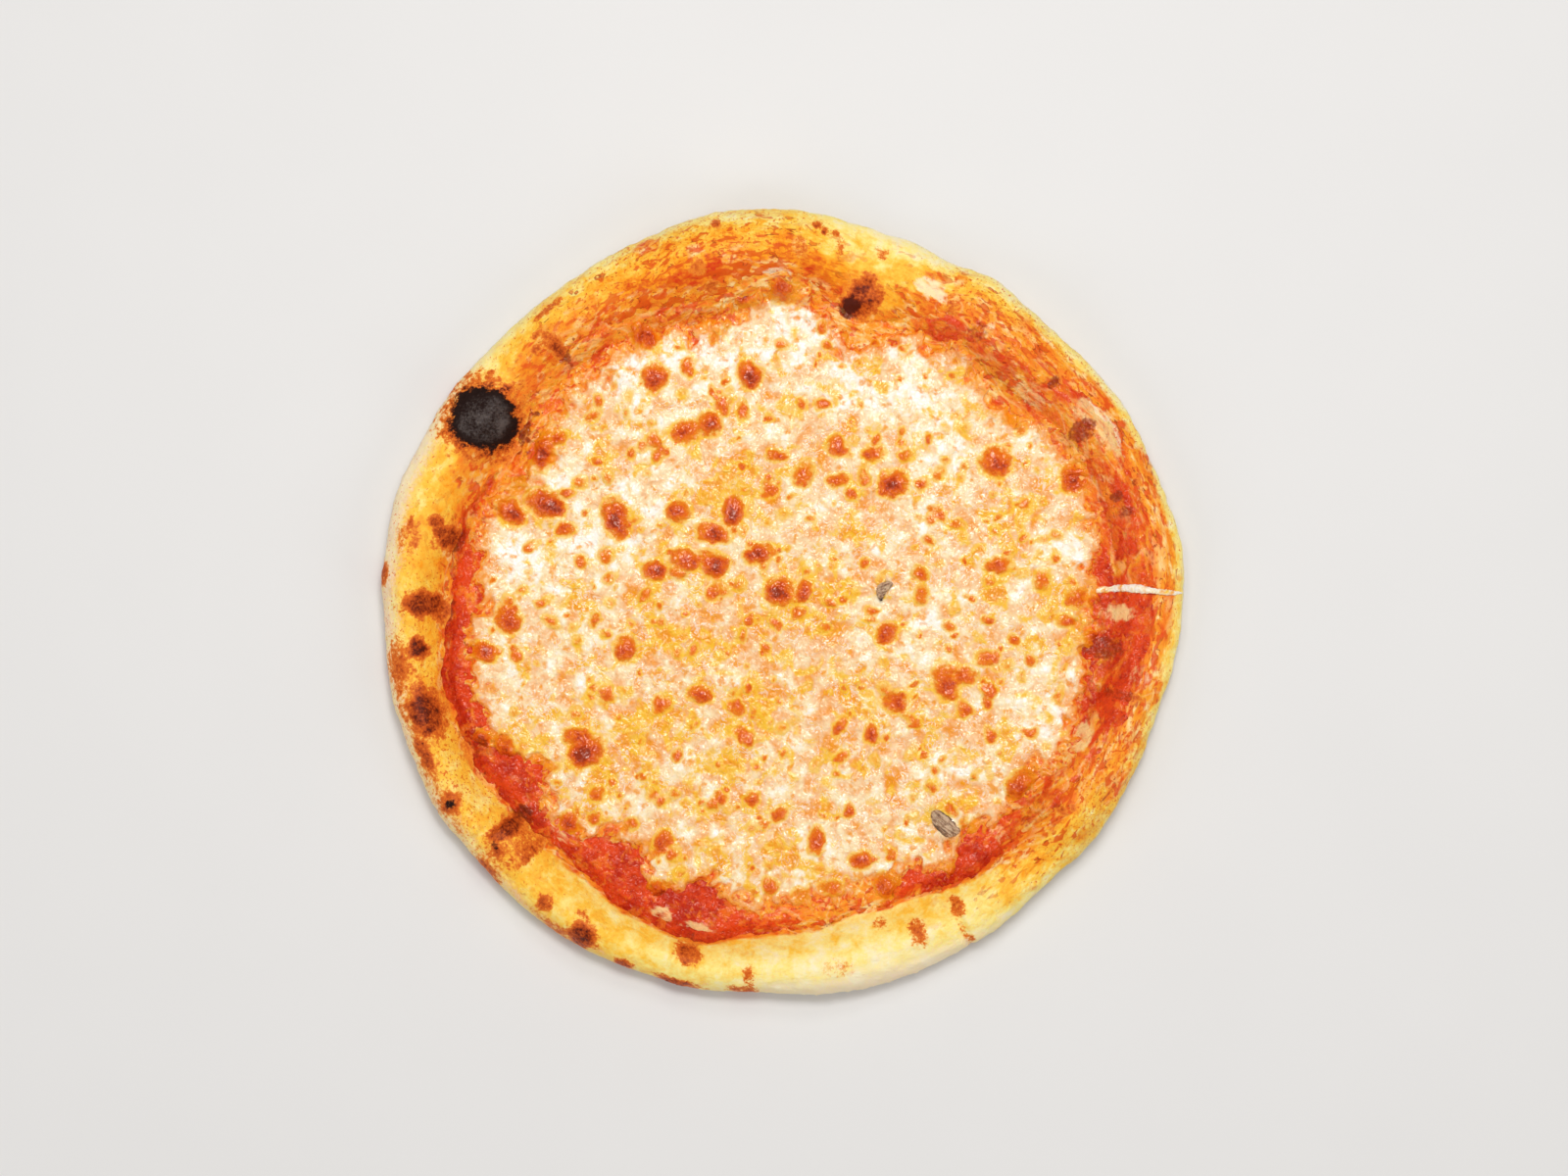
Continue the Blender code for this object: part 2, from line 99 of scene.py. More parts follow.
def length(text, description, default):
    return FloatProperty(name=text, description=description, default=default, min=0.0, unit="LENGTH")


def power(text, description, default):
    return FloatProperty(name=text, description=description, default=default, min=0.0, unit="POWER")


def share(text, description, default):
    return FloatProperty(
        name=text, description=description, default=default, min=0.0, max=1.0, subtype="FACTOR",
    )


class PizzaDoughSettings(bpy.types.PropertyGroup):
    pale: colour("Pale dough", 253, 238, 196)
    yellow: colour("Yellow dough", 255, 230, 136)
    golden: colour("Golden dough", 255, 200, 70)
    orange: colour("Oiled dough", 253, 160, 30)
    red: colour("Dough stained by sauce", 216, 62, 22)
    flour: colour("Floury side", 253, 230, 204)
    fleck: colour("Flecks on the skin", 222, 86, 18)
    toasted: colour("Toasted dough", 233, 126, 40)
    rusty: colour("Rusty brown dough", 208, 92, 28)
    browned: colour("Browned dough", 140, 48, 14)
    scorched: colour("Scorched dough", 84, 26, 12)
    char: colour("Charred dough", 36, 20, 16)
    # Grey ash on the char, and also a painted sheen of the light on it.
    ash_and_sheen: colour("Sheen on the char", 108, 98, 94)
    wrinkles: length("Wrinkles", "Height of the skin's wrinkles", 0.0003)
    pimples: length("Pimples", "Height of the small blisters", 0.0004)


class PizzaSauceSettings(bpy.types.PropertyGroup):
    bright: colour("Bright sauce", 226, 70, 22)
    deep: colour("Deep sauce", 184, 36, 14)
    baked: colour("Sauce baked onto dough", 244, 124, 34)
    orange: colour("Oily orange", 249, 162, 44)
    cream: colour("Cream swirls", 254, 217, 148)
    speck: colour("Dark specks", 150, 44, 14)
    scorched: colour("Scorched sauce", 72, 22, 14)
    pulp: length("Pulp", "Height of the pulp in the sauce", 0.0005)


class PizzaCheeseSettings(bpy.types.PropertyGroup):
    # The white also paints the cheese's painted glints, beside its own white curds.
    white: colour("White cheese", 254, 246, 232)
    cream: colour("Cream cheese", 251, 225, 178)
    # The oily colour also paints the painted shade lines beside the painted glints.
    oiled: colour("Oily cheese", 249, 196, 52)
    thin: colour("Thin cheese over sauce", 245, 194, 142)
    apricot: colour("Cheese soaked with sauce", 242, 156, 70)
    golden: colour("Golden brown", 240, 150, 20)
    brown: colour("Browned bubble", 232, 108, 16)
    russet: colour("Browner middle of a bubble", 208, 72, 12)
    dark: colour("Dark top of a bubble", 152, 44, 6)
    thickness: length("Thickness", "Thickness of the cheese", 0.0023)
    curds: length("Curds", "Height of the curd lumps", 0.0005)
    doming: share("Doming", "Height of a bubble as a share of its width", 0.19)


class PizzaMushroomSettings(bpy.types.PropertyGroup):
    pale: colour("Pale flesh", 198, 164, 130)
    flesh: colour("Flesh", 140, 100, 68)
    skin: colour("Skin", 44, 26, 18)


class PizzaStageSettings(bpy.types.PropertyGroup):
    floor: colour("Floor", 226, 224, 222)
    camera_height: length("Camera height", "Height of the camera over the floor", 1.6)
    key_power: power("Key power", "Power of the key light", 7.4)
    glint_power: power("Glint power", "Power of each small light", 2.5)
    top_power: power("Top power", "Power of the light overhead", 2.0)
    side_power: power("Side power", "Power of the side lights", 4.0)
    sky: share("Sky", "Brightness of the surroundings", 0.28)


def clamp(values, low=0.0, high=1.0):
    return np.clip(values, low, high)


def smooth(values):
    values = clamp(values)
    return values * values * (3 - 2 * values)


def mound(distance):
    """1 in the middle and 0 from a distance of 1 outwards, smooth at both."""
    inside = clamp(1 - distance * distance)
    return inside * inside


def turn_between(degrees, other):
    return (degrees - other + 180.0) % 360.0 - 180.0


def around(values, degrees):
    """A smooth closed curve through values that stand evenly round the pizza."""
    table = np.asarray(values, float)
    place = (degrees / 360.0) % 1.0 * len(table)
    first = place.astype(int)
    t = place - first
    a, b, c, d = (table[(first + step) % len(table)] for step in (-1, 0, 1, 2))
    return b + 0.5 * t * (c - a + t * (2 * a - 5 * b + 4 * c - d + t * (3 * (b - c) + d - a)))


def pixel_place(x, y):
    """Where a pixel of the photograph lies on the model, in millimetres."""
    return (x - ORIGIN_PIXEL[0]) * MM_PER_PIXEL, (ORIGIN_PIXEL[1] - y) * MM_PER_PIXEL


def fractal(points, size, seed, octaves=3):
    """Fractal noise, about -1 to 1, with patches of that size in millimetres."""
    shift = Vector((17.3 * seed, 5.1 * seed, 9.7 * seed))
    return np.array([noise.fractal(Vector(p) / size + shift, 0.8, 2.0, octaves) for p in points.tolist()])


def noise_over(x, y, z):
    """A function for fractal noise at a table of points: it takes the patches' size, seed and octaves."""
    points = np.stack([x, y, z], 2).reshape(-1, 3)

    def field(size, seed, octaves=3):
        return fractal(points, size, seed, octaves).reshape(x.shape)

    return field


def densify(rows, count):
    """Rows for evenly spaced directions, refined round the circle by smooth interpolation."""
    place = np.arange(count) * len(rows) / count
    first = place.astype(int)
    t = (place - first)[:, None]
    a, b, c, d = (rows[(first + step) % len(rows)] for step in (-1, 0, 1, 2))
    return b + 0.5 * t * (c - a + t * (2 * a - 5 * b + 4 * c - d + t * (3 * (b - c) + d - a)))


def soften_ring(values):
    """One value per direction, with the steps of the reading taken out."""
    for _ in range(2):
        values = (np.roll(values, 1) + 2 * values + np.roll(values, -1)) / 4
    return values


def soften(rows, times):
    """Takes the facets of the solids out of a table, first round the circle and then outwards."""
    for _ in range(times):
        rows = (np.roll(rows, 1, 0) + 2 * rows + np.roll(rows, -1, 0)) / 4
        rows[:, 1:-1] = (rows[:, :-2] + 2 * rows[:, 1:-1] + rows[:, 2:]) / 4
    return rows


class Solid:
    """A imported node, read by rays in millimetres."""

    def __init__(self, node):
        graph = bpy.context.evaluated_depsgraph_get()
        self.tree = BVHTree.FromObject(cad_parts[node], graph)

    def top(self, x, y):
        """Height of the upper side at a point, or None where the node isn't."""
        hit = self.tree.ray_cast(Vector((x, y, 100.0)) * MM, Vector((0, 0, -1)))[0]
        return None if hit is None else hit.z / MM

    def fan(self, degrees, radius, height, rise):
        """Where a ray from inside the rim leaves it, as (radius, height)."""
        a, b = math.radians(degrees), math.radians(rise)
        start = Vector((radius * math.cos(a), radius * math.sin(a), height)) * MM
        aim = Vector((math.cos(a) * math.cos(b), math.sin(a) * math.cos(b), math.sin(b)))
        hit = self.tree.ray_cast(start, aim)[0] / MM
        return math.hypot(hit.x, hit.y), hit.z


class Layer:
    """The upper side of a node as a table of heights by direction and radius, with its edge."""

    def __init__(self, node, under=None):
        solid = Solid(node)
        self.radii = np.arange(0.0, READ_REACH, READ_STEP)
        self.edge = np.zeros(READ_DIRECTIONS)
        table = np.full((READ_DIRECTIONS, len(self.radii)), np.nan)
        for i in range(READ_DIRECTIONS):
            angle = 2 * math.pi * i / READ_DIRECTIONS
            for j, radius in enumerate(self.radii):
                z = solid.top(radius * math.cos(angle), radius * math.sin(angle))
                if z is not None:
                    table[i, j] = z
                    self.edge[i] = radius
        gaps = np.isnan(table)
        if under is not None:
            table[gaps] = under.table[gaps]
        self.table = table if under is None else soften(table, 1)

    def at(self, degrees, radius):
        """Heights at many places, read between the table's own."""
        i = (degrees / 360.0) % 1.0 * READ_DIRECTIONS
        j = clamp(radius / READ_STEP, 0, len(self.radii) - 1.001)
        i0, j0 = i.astype(int), j.astype(int)
        u, v = i - i0, j - j0
        i1, j1 = (i0 + 1) % READ_DIRECTIONS, j0 + 1
        i0 = i0 % READ_DIRECTIONS
        near = self.table[i0, j0] * (1 - v) + self.table[i0, j1] * v
        far = self.table[i1, j0] * (1 - v) + self.table[i1, j1] * v
        return near * (1 - u) + far * u


class Finish:
    """Builds one material. Each call adds a node and returns its output."""

    def __init__(self, name, **inputs):
        self.material = bpy.data.materials.new(name)
        self.material.use_nodes = True
        self.seed = 0.0
        self.tree = self.material.node_tree
        self.shader = self.tree.nodes["Principled BSDF"]
        self.spot = self.node("ShaderNodeTexCoord").outputs["Object"]
        for socket, value in inputs.items():
            self.put(self.shader.inputs[socket.replace("_", " ")], value)

    def put(self, socket, value):
        if isinstance(value, bpy.types.NodeSocket):
            self.tree.links.new(value, socket)
        elif hasattr(value, "__len__") and len(value) == 3 and socket.type == "RGBA":
            socket.default_value = (*value, 1.0)
        else:
            socket.default_value = value

    def node(self, kind, inputs=(), **settings):
        made = self.tree.nodes.new(kind)
        for name, value in settings.items():
            setattr(made, name, value)
        for socket, value in inputs:
            self.put(made.inputs[socket], value)
        return made

    def scaled(self, value, amount):
        return self.math("MULTIPLY", value, amount)

    def field(self, name):
        return self.node("ShaderNodeAttribute", attribute_name=name).outputs["Fac"]

    def skin(self):
        return self.node("ShaderNodeAttribute", attribute_name="skin").outputs["Vector"]

    def noise(self, size, detail=2.0, rough=0.5, distortion=0.0, vector=None):
        """Noise from 0 to 1 with patches of that size in millimetres, each call with its own pattern."""
        self.seed += 1.7
        scale = 1.0 / (size * MM) if vector is None else 1.0 / size
        inputs = [("Scale", scale), ("Detail", detail), ("Roughness", rough), ("Distortion", distortion)]
        inputs += [("Vector", vector or self.spot), ("W", self.seed)]
        return self.node("ShaderNodeTexNoise", inputs, noise_dimensions="4D").outputs["Fac"]

    def cells(self, size, jitter=1.0):
        """Distance to the nearest of many scattered points, as a share of the size between them."""
        inputs = [("Scale", 1.0 / (size * MM)), ("Randomness", jitter), ("Vector", self.spot)]
        return self.node("ShaderNodeTexVoronoi", inputs, feature="F1").outputs["Distance"]

    def math(self, operation, a, b=0.0):
        return self.node("ShaderNodeMath", [(0, a), (1, b)], operation=operation).outputs[0]

    def around_half(self, value, amount):
        """A noise turned from 0..1 to minus and plus half of an amount."""
        return self.math("MULTIPLY", self.math("SUBTRACT", value, 0.5), amount)

    def plus(self, *values):
        total = values[0]
        for value in values[1:]:
            total = self.math("ADD", total, value)
        return total

    def between(self, value, low, high, out_low=0.0, out_high=1.0):
        inputs = [("Value", value), ("From Min", low), ("From Max", high)]
        inputs += [("To Min", out_low), ("To Max", out_high)]
        made = self.node("ShaderNodeMapRange", inputs, interpolation_type="SMOOTHSTEP")
        return made.outputs["Result"]

    def lines(self, value, middle, width):
        """Thin curved lines, 1 where a noise crosses a value."""
        away = self.math("ABSOLUTE", self.math("SUBTRACT", value, middle))
        return self.between(away, 0.0, width, 1.0, 0.0)

    def mix(self, amount, a, b):
        made = self.node("ShaderNodeMix", data_type="RGBA")
        for socket, value in ((0, amount), (6, a), (7, b)):
            self.put(made.inputs[socket], value)
        return made.outputs[2]

    def ramp(self, value, stops):
        made = self.node("ShaderNodeValToRGB", [("Fac", value)])
        points = made.color_ramp.elements
        for place, _ in stops[2:]:
            points.new(place)
        for point, (place, shade) in zip(points, stops):
            point.position = place
            point.color = (*shade, 1.0)
        return made.outputs["Color"]

    def paint(self, base, shade, value, low, high, most=1.0):
        """A colour laid over another where a value runs from low to high."""
        return self.mix(self.between(value, low, high, 0.0, most), base, shade)

    def bump(self, height, depth, normal=None):
        """Relief of that depth in millimetres, on top of other relief."""
        inputs = [("Height", height), ("Distance", depth * MM), ("Strength", 1.0)]
        if normal is not None:
            inputs.append(("Normal", normal))
        return self.node("ShaderNodeBump", inputs).outputs["Normal"]

    def finish(self, **inputs):
        for socket, value in inputs.items():
            self.put(self.shader.inputs[socket.replace("_", " ")], value)
        return self.material


def build(name, points, faces, fields, material, nodes=(), skin=None):
    """A smooth piece with its fields of paint, riding on the pizza's one body."""
    mesh = bpy.data.meshes.new(name)
    mesh.from_pydata((points * MM).tolist(), [], faces)
    for field, values in fields.items():
        made = mesh.attributes.new(field, "FLOAT", "POINT")
        made.data.foreach_set("value", np.asarray(values, np.float32).ravel())
    if skin is not None:
        made = mesh.attributes.new("skin", "FLOAT_VECTOR", "POINT")
        made.data.foreach_set("vector", np.asarray(skin, np.float32).ravel())
    mesh.shade_smooth()
    mesh.materials.append(material)
    piece = bpy.data.objects.new(name, mesh)
    bpy.context.scene.collection.objects.link(piece)
    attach(piece, BODY)
    if nodes:
        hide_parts(*nodes)
    return piece


def shell_faces(count, rings):
    """Faces of a closed shell of rings, with one point at its start and one at its end."""
    i = np.arange(count)
    j = (i + 1) % count
    faces = []
    for ring in range(rings - 1):
        near, far = 1 + ring * count, 1 + (ring + 1) * count
        faces += np.stack([near + i, far + i, far + j, near + j], 1).tolist()
    last = 1 + rings * count
    faces += np.stack([np.zeros_like(i), 1 + i, 1 + j], 1).tolist()
    faces += np.stack([np.full_like(i, last), last - count + j, last - count + i], 1).tolist()
    return faces


def shell_points(x, y, z):
    """Points for shell_faces from tables by direction and ring, closed by a point at each end."""
    table = np.stack([x, y, z], 2).transpose(1, 0, 2)
    ends = [np.array([[0.0, 0.0, table[side, :, 2].mean()]]) for side in (0, -1)]
    return np.concatenate([ends[0], table.reshape(-1, 3), ends[1]])


def shell_field(values):
    """A table by direction and ring in the order of shell_points."""
    rows = values.T
    return np.concatenate([[rows[0].mean()], rows.ravel(), [rows[-1].mean()]])


def build_shell(name, x, y, z, skin, fields, material, node):
    """A closed piece from tables by direction and ring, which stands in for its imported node."""
    build(
        name, shell_points(x, y, z), shell_faces(*x.shape),
        {field: shell_field(values) for field, values in fields.items()}, material, (node,),
        np.stack([shell_field(skin[:, :, k]) for k in range(3)], 1),
    )


def grid_normals(x, y, z):
    """Normals of a closed table of points, outwards."""
    points = np.stack([x, y, z], 2)
    along = np.roll(points, -1, 0) - np.roll(points, 1, 0)
    out = np.gradient(points, axis=1)
    cross = np.cross(out, along)
    return cross / np.maximum(np.linalg.norm(cross, axis=2, keepdims=True), 1e-9)


# Marks on the rim, read off the photograph: direction, distance from the middle in pixels, half
# length along the rim and half width across it in pixels, strength.
CHARRED = (
    (148.6, 358, 33, 35, 1.6), (148.0, 385, 12, 12, 0.9), (211.2, 396, 6, 7, 1.0),
    (201.5, 394, 8, 6, 0.5), (204.0, 398, 5, 4, 0.5), (220.0, 384, 5, 4, 0.7), (238.9, 397, 6, 8, 0.4),
    (254.0, 404, 12, 3, 0.5),
)
TOASTED = (
    (148.6, 357, 43, 43, 1.5), (77.2, 310, 13, 12, 2.0), (75.5, 322, 20, 24, 1.2),
    (169.3, 349, 15, 16, 1.2), (167.0, 363, 9, 9, 0.9), (168.0, 388, 8, 5, 0.8),
    (170.0, 386, 26, 16, 0.45), (180.3, 366, 14, 26, 1.3), (181.8, 350, 12, 12, 1.1),
    (176.0, 408, 14, 5, 0.9), (187.2, 376, 13, 12, 1.5), (197.0, 382, 32, 20, 1.35),
    (203.0, 396, 26, 8, 1.1), (211.0, 396, 15, 13, 1.0), (190.0, 397, 34, 14, 0.7),
    (219.3, 360, 12, 27, 1.25), (224.6, 360, 8, 24, 0.85), (221.5, 372, 26, 40, 0.55),
    (221.0, 384, 13, 7, 0.9), (222.0, 408, 22, 9, 0.8), (231.6, 391, 10, 9, 1.0),
    (238.7, 396, 17, 14, 1.4), (237.2, 378, 8, 6, 0.55), (235.0, 405, 40, 6, 0.5),
    (246.0, 403, 12, 6, 1.0), (254.0, 403, 26, 5, 1.1), (254.6, 371, 15, 13, 1.0),
    (264.0, 398, 18, 6, 0.75), (264.6, 381, 7, 12, 0.6), (278.5, 376, 20, 12, 0.25),
    (292.0, 362, 10, 16, 0.70), (286.5, 343, 9, 6, 0.60), (299.6, 356, 8, 12, 0.8),
    (299.0, 393, 6, 6, 0.4), (298.5, 372, 4, 34, 0.3), (344.6, 358, 7, 22, 0.7),
    (320.5, 330, 18, 12, 0.5), (57.2, 399, 9, 4, 0.8), (29.0, 405, 12, 3, 0.9), (85.0, 385, 6, 5, 1.0),
    (82.0, 379, 4, 4, 1.0), (83.8, 379, 4, 4, 1.0), (100.2, 390, 6, 5, 0.9), (74.2, 368, 8, 7, 0.6),
    (87.4, 362, 9, 12, 0.6), (129.0, 382, 20, 4, 0.8), (134.4, 360, 6, 5, 0.9), (133.0, 370, 7, 4, 0.8),
    (131.8, 348, 9, 22, 1.0), (30.0, 350, 11, 15, 0.9), (17.6, 355, 6, 7, 0.9), (18.8, 378, 4, 6, 0.9),
    (39.0, 354, 6, 9, 0.9), (54.5, 338, 10, 11, 0.7), (60.0, 343, 8, 10, 0.65), (14.8, 360, 6, 9, 0.8),
    (104.5, 350, 10, 9, 0.5), (103.0, 328, 8, 6, 0.9), (81.0, 365, 5, 12, 0.5), (323.0, 350, 5, 9, 0.7),
    (324.5, 360, 4, 4, 0.8), (204.6, 346, 17, 22, 0.65), (351.8, 326, 12, 24, 0.9),
    (210.0, 402, 60, 10, 0.35),
)
STAINED = (
    (20.0, 388, 34, 12, 0.8), (346.5, 386, 16, 10, 0.7), (358.0, 374, 24, 14, 0.7),
    (31.0, 386, 24, 6, 0.6), (34.0, 352, 20, 18, 0.8), (64.5, 362, 12, 13, 0.6), (61.3, 373, 7, 11, 0.7),
    (48.0, 352, 26, 16, 0.6), (53.0, 326, 44, 14, 0.8), (98.0, 350, 16, 20, 0.6),
    (104.0, 367, 12, 8, 0.6), (111.3, 386, 14, 7, 0.7), (120.5, 332, 38, 9, 0.9),
    (133.0, 348, 50, 22, 0.7), (146.0, 316, 60, 10, 0.9), (156.0, 344, 24, 20, 0.7),
    (43.0, 366, 20, 10, 0.6), (87.5, 362, 8, 11, 0.7), (332.0, 384, 24, 10, 0.7),
    (316.0, 345, 40, 14, 0.7), (8.0, 384, 34, 10, 0.5), (125.0, 360, 24, 14, 0.5),
    (84.0, 325, 16, 14, 0.6), (66.0, 337, 26, 8, 0.7),
)
SMEARED = (
    (28.0, 372, 30, 10, 0.9), (22.0, 352, 12, 10, 0.4), (65.0, 352, 18, 10, 1.0),
    (335.5, 333, 16, 10, 1.0), (358.0, 340, 9, 17, 1.0), (248.5, 343, 12, 8, 0.9),
    (255.0, 345, 14, 6, 0.9), (32.5, 362, 12, 14, 0.8), (313.0, 322, 8, 14, 0.6),
    (348.5, 372, 12, 14, 0.5), (53.0, 345, 5, 12, 0.7), (40.0, 325, 20, 14, 0.7), (91.0, 334, 16, 6, 0.7),
    (226.0, 322, 14, 14, 0.6),
)

CREASES = ((298.5, 368, 6, 30, 1.0), (217.6, 372, 5, 28, 1.0), (226.2, 368, 5, 26, 0.8))

# How the dough's colour runs from pale (0) to stained red (1), every 15 degrees.
WARM_OUTSIDE = (
    0.30, 0.24, 0.22, 0.20, 0.16, 0.14, 0.28, 0.28, 0.22, 0.24, 0.18, 0.24,
    0.42, 0.40, 0.38, 0.42, 0.40, 0.36, 0.20, 0.14, 0.18, 0.34, 0.42, 0.36,
)
WARM_CREST = (
    0.50, 0.64, 0.64, 0.62, 0.52, 0.34, 0.56, 0.57, 0.56, 0.52, 0.42, 0.44,
    0.46, 0.46, 0.40, 0.46, 0.38, 0.32, 0.18, 0.12, 0.26, 0.50, 0.56, 0.48,
)
WARM_FOOT = (
    0.80, 0.80, 0.74, 0.74, 0.78, 0.66, 0.90, 0.94, 0.92, 0.84, 0.74, 0.60,
    0.56, 0.58, 0.42, 0.46, 0.40, 0.38, 0.32, 0.28, 0.42, 0.66, 0.72, 0.70,
)
STREAKED = (
    0.9, 0.9, 0.9, 0.9, 0.8, 0.4, 0.9, 1.0, 0.9, 0.6, 0.25, 0.2,
    0.25, 0.25, 0.2, 0.25, 0.15, 0.12, 0.1, 0.1, 0.3, 1.0, 1.0, 0.9,
)
SPECKLED = (
    0.5, 0.7, 0.8, 0.8, 0.8, 0.2, 0.7, 0.9, 0.8, 0.6, 0.4, 0.6,
    0.7, 0.9, 0.9, 0.6, 0.3, 0.3, 0.2, 0.05, 0.1, 0.6, 0.9, 0.7,
)
FLOURED = (
    0.0, 0.0, 0.0, 0.0, 0.0, 0.1, 0.0, 0.0, 0.2, 0.35, 0.7, 0.8,
    0.8, 0.75, 0.7, 0.6, 0.4, 0.4, 0.7, 0.8, 0.6, 0.1, 0.0, 0.0,
)
# How deep and wet the sauce is (1) or baked onto the dough (0), every 15 degrees.
WET = (
    0.60, 0.50, 0.40, 0.40, 0.35, 0.10, 0.15, 0.25, 0.40, 0.30, 0.40, 0.50,
    0.60, 0.70, 0.76, 0.62, 0.76, 0.76, 0.45, 0.25, 0.80, 0.60, 0.40, 0.62,
)
# How far past the sauce the dough is stained by it, in millimetres.
STAIN_REACH = (
    10.0, 12.0, 10.0, 11.0, 9.0, 3.0, 4.0, 6.0, 8.0, 9.0, 7.0, 6.0,
    4.0, 4.0, 2.5, 3.5, 2.0, 2.0, 2.5, 1.5, 2.0, 5.0, 10.0, 10.0,
)


def marks(degrees, radius, wobble, rows, softness=0.7):
    """A field of marks with ragged edges, the strongest winning."""
    field = np.zeros_like(radius)
    for at, pixels, along, across, strength in rows:
        u = np.radians(turn_between(degrees, at)) * pixels / along
        v = (radius / MM_PER_PIXEL - pixels) / across
        distance = np.sqrt(u * u + v * v) * (1 + wobble)
        field = np.maximum(field, strength * smooth((1.4 - distance) / softness))
    return field


def photo_polar(x, y):
    """Direction and radius round the photograph's centre of the pizza, which the marks use."""
    dx = x - (MARKS_COLUMN - ORIGIN_PIXEL[0]) * MM_PER_PIXEL
    return np.degrees(np.arctan2(y, dx)), np.hypot(dx, y)


def read_rim(solid, foot):
    """The dough's section in every direction: over the rim, round its side and under it."""
    rises = np.concatenate([np.linspace(90, 20, 17), np.linspace(12, -40, 12), [-60, -90]])
    rows = []
    for i in range(READ_DIRECTIONS):
        degrees = 360.0 * i / READ_DIRECTIONS
        core = widest(solid, degrees) - RIM_CORE
        angle = math.radians(degrees)
        row = []
        for radius in np.concatenate([[foot * 0.5, foot * 0.9], np.linspace(foot, core, 34)[:-1]]):
            row.append((radius, solid.top(radius * math.cos(angle), radius * math.sin(angle))))
        for rise in rises:
            row.append(solid.fan(degrees, core, RIM_CORE_HEIGHT, rise))
        for part in (0.9, 0.6, 0.3):
            row.append((core * part, 0.0))
        rows.append(row)
    return np.array(rows)


def widest(solid, degrees):
    """Radius of the dough's widest point in a direction."""
    angle = math.radians(degrees)
    aim = Vector((math.cos(angle), math.sin(angle), 0.0))
    start = aim * 0.3 + Vector((0, 0, RIM_CORE_HEIGHT * MM))
    hit = solid.tree.ray_cast(start, -aim)[0]
    return math.hypot(hit.x, hit.y) / MM


def baked_sauce(f, looks, size, redness=0.0, skin=None):
    """Sauce and cheese baked together: cream, orange and red strands, with dark specks."""
    broad = f.noise(size, 2.0, 0.5, 1.2, skin)
    swirl = f.plus(broad, f.around_half(f.noise(size * 0.4, 2.0, 0.5, 0.8, skin), 0.4), redness)
    base = f.ramp(swirl, (
        (0.26, looks.cream), (0.43, looks.orange), (0.63, looks.baked), (0.83, looks.bright),
    ))
    strands = f.lines(f.noise(size * 2.4, 1.0, 0.5, 1.0, skin), 0.5, 0.04)
    base = f.mix(f.scaled(strands, 0.35), base, looks.cream)
    flecks = f.noise(size * 0.55, 2.0, 0.5, 0.6, skin)
    base = f.paint(base, looks.bright, flecks, 0.54, 0.62, 0.8)
    rims = f.scaled(f.lines(flecks, 0.58, 0.05), f.between(f.noise(3.4, 2.0, 0.5, 0.0, skin), 0.50, 0.60))
    base = f.mix(f.scaled(rims, 0.5), base, looks.speck)
    specks = f.between(f.noise(1.5, 2.0, 0.6, 0.6, skin), 0.65, 0.72, 0.0, 0.8)
    return f.mix(specks, base, looks.speck)


def wet_sauce(f, looks, wet):
    """Thick wet sauce, deep red where it is thickest."""
    tone = f.plus(f.noise(2.4, 3.0, 0.55, 0.6), f.around_half(f.noise(8.0, 2.0), 1.3))
    tone = f.plus(tone, f.around_half(wet, -0.7))
    base = f.mix(f.between(tone, 0.05, 0.60), looks.deep, looks.bright)
    oil = f.plus(f.noise(3.2, 2.0, 0.5, 0.8), f.around_half(f.noise(9.0, 1.0), 0.8))
    base = f.paint(base, looks.baked, oil, 0.56, 0.72, 0.6)
    bits = f.between(f.noise(1.3, 2.0, 0.6, 0.4), 0.62, 0.70, 0.0, 0.7)
    return f.mix(bits, base, looks.speck)


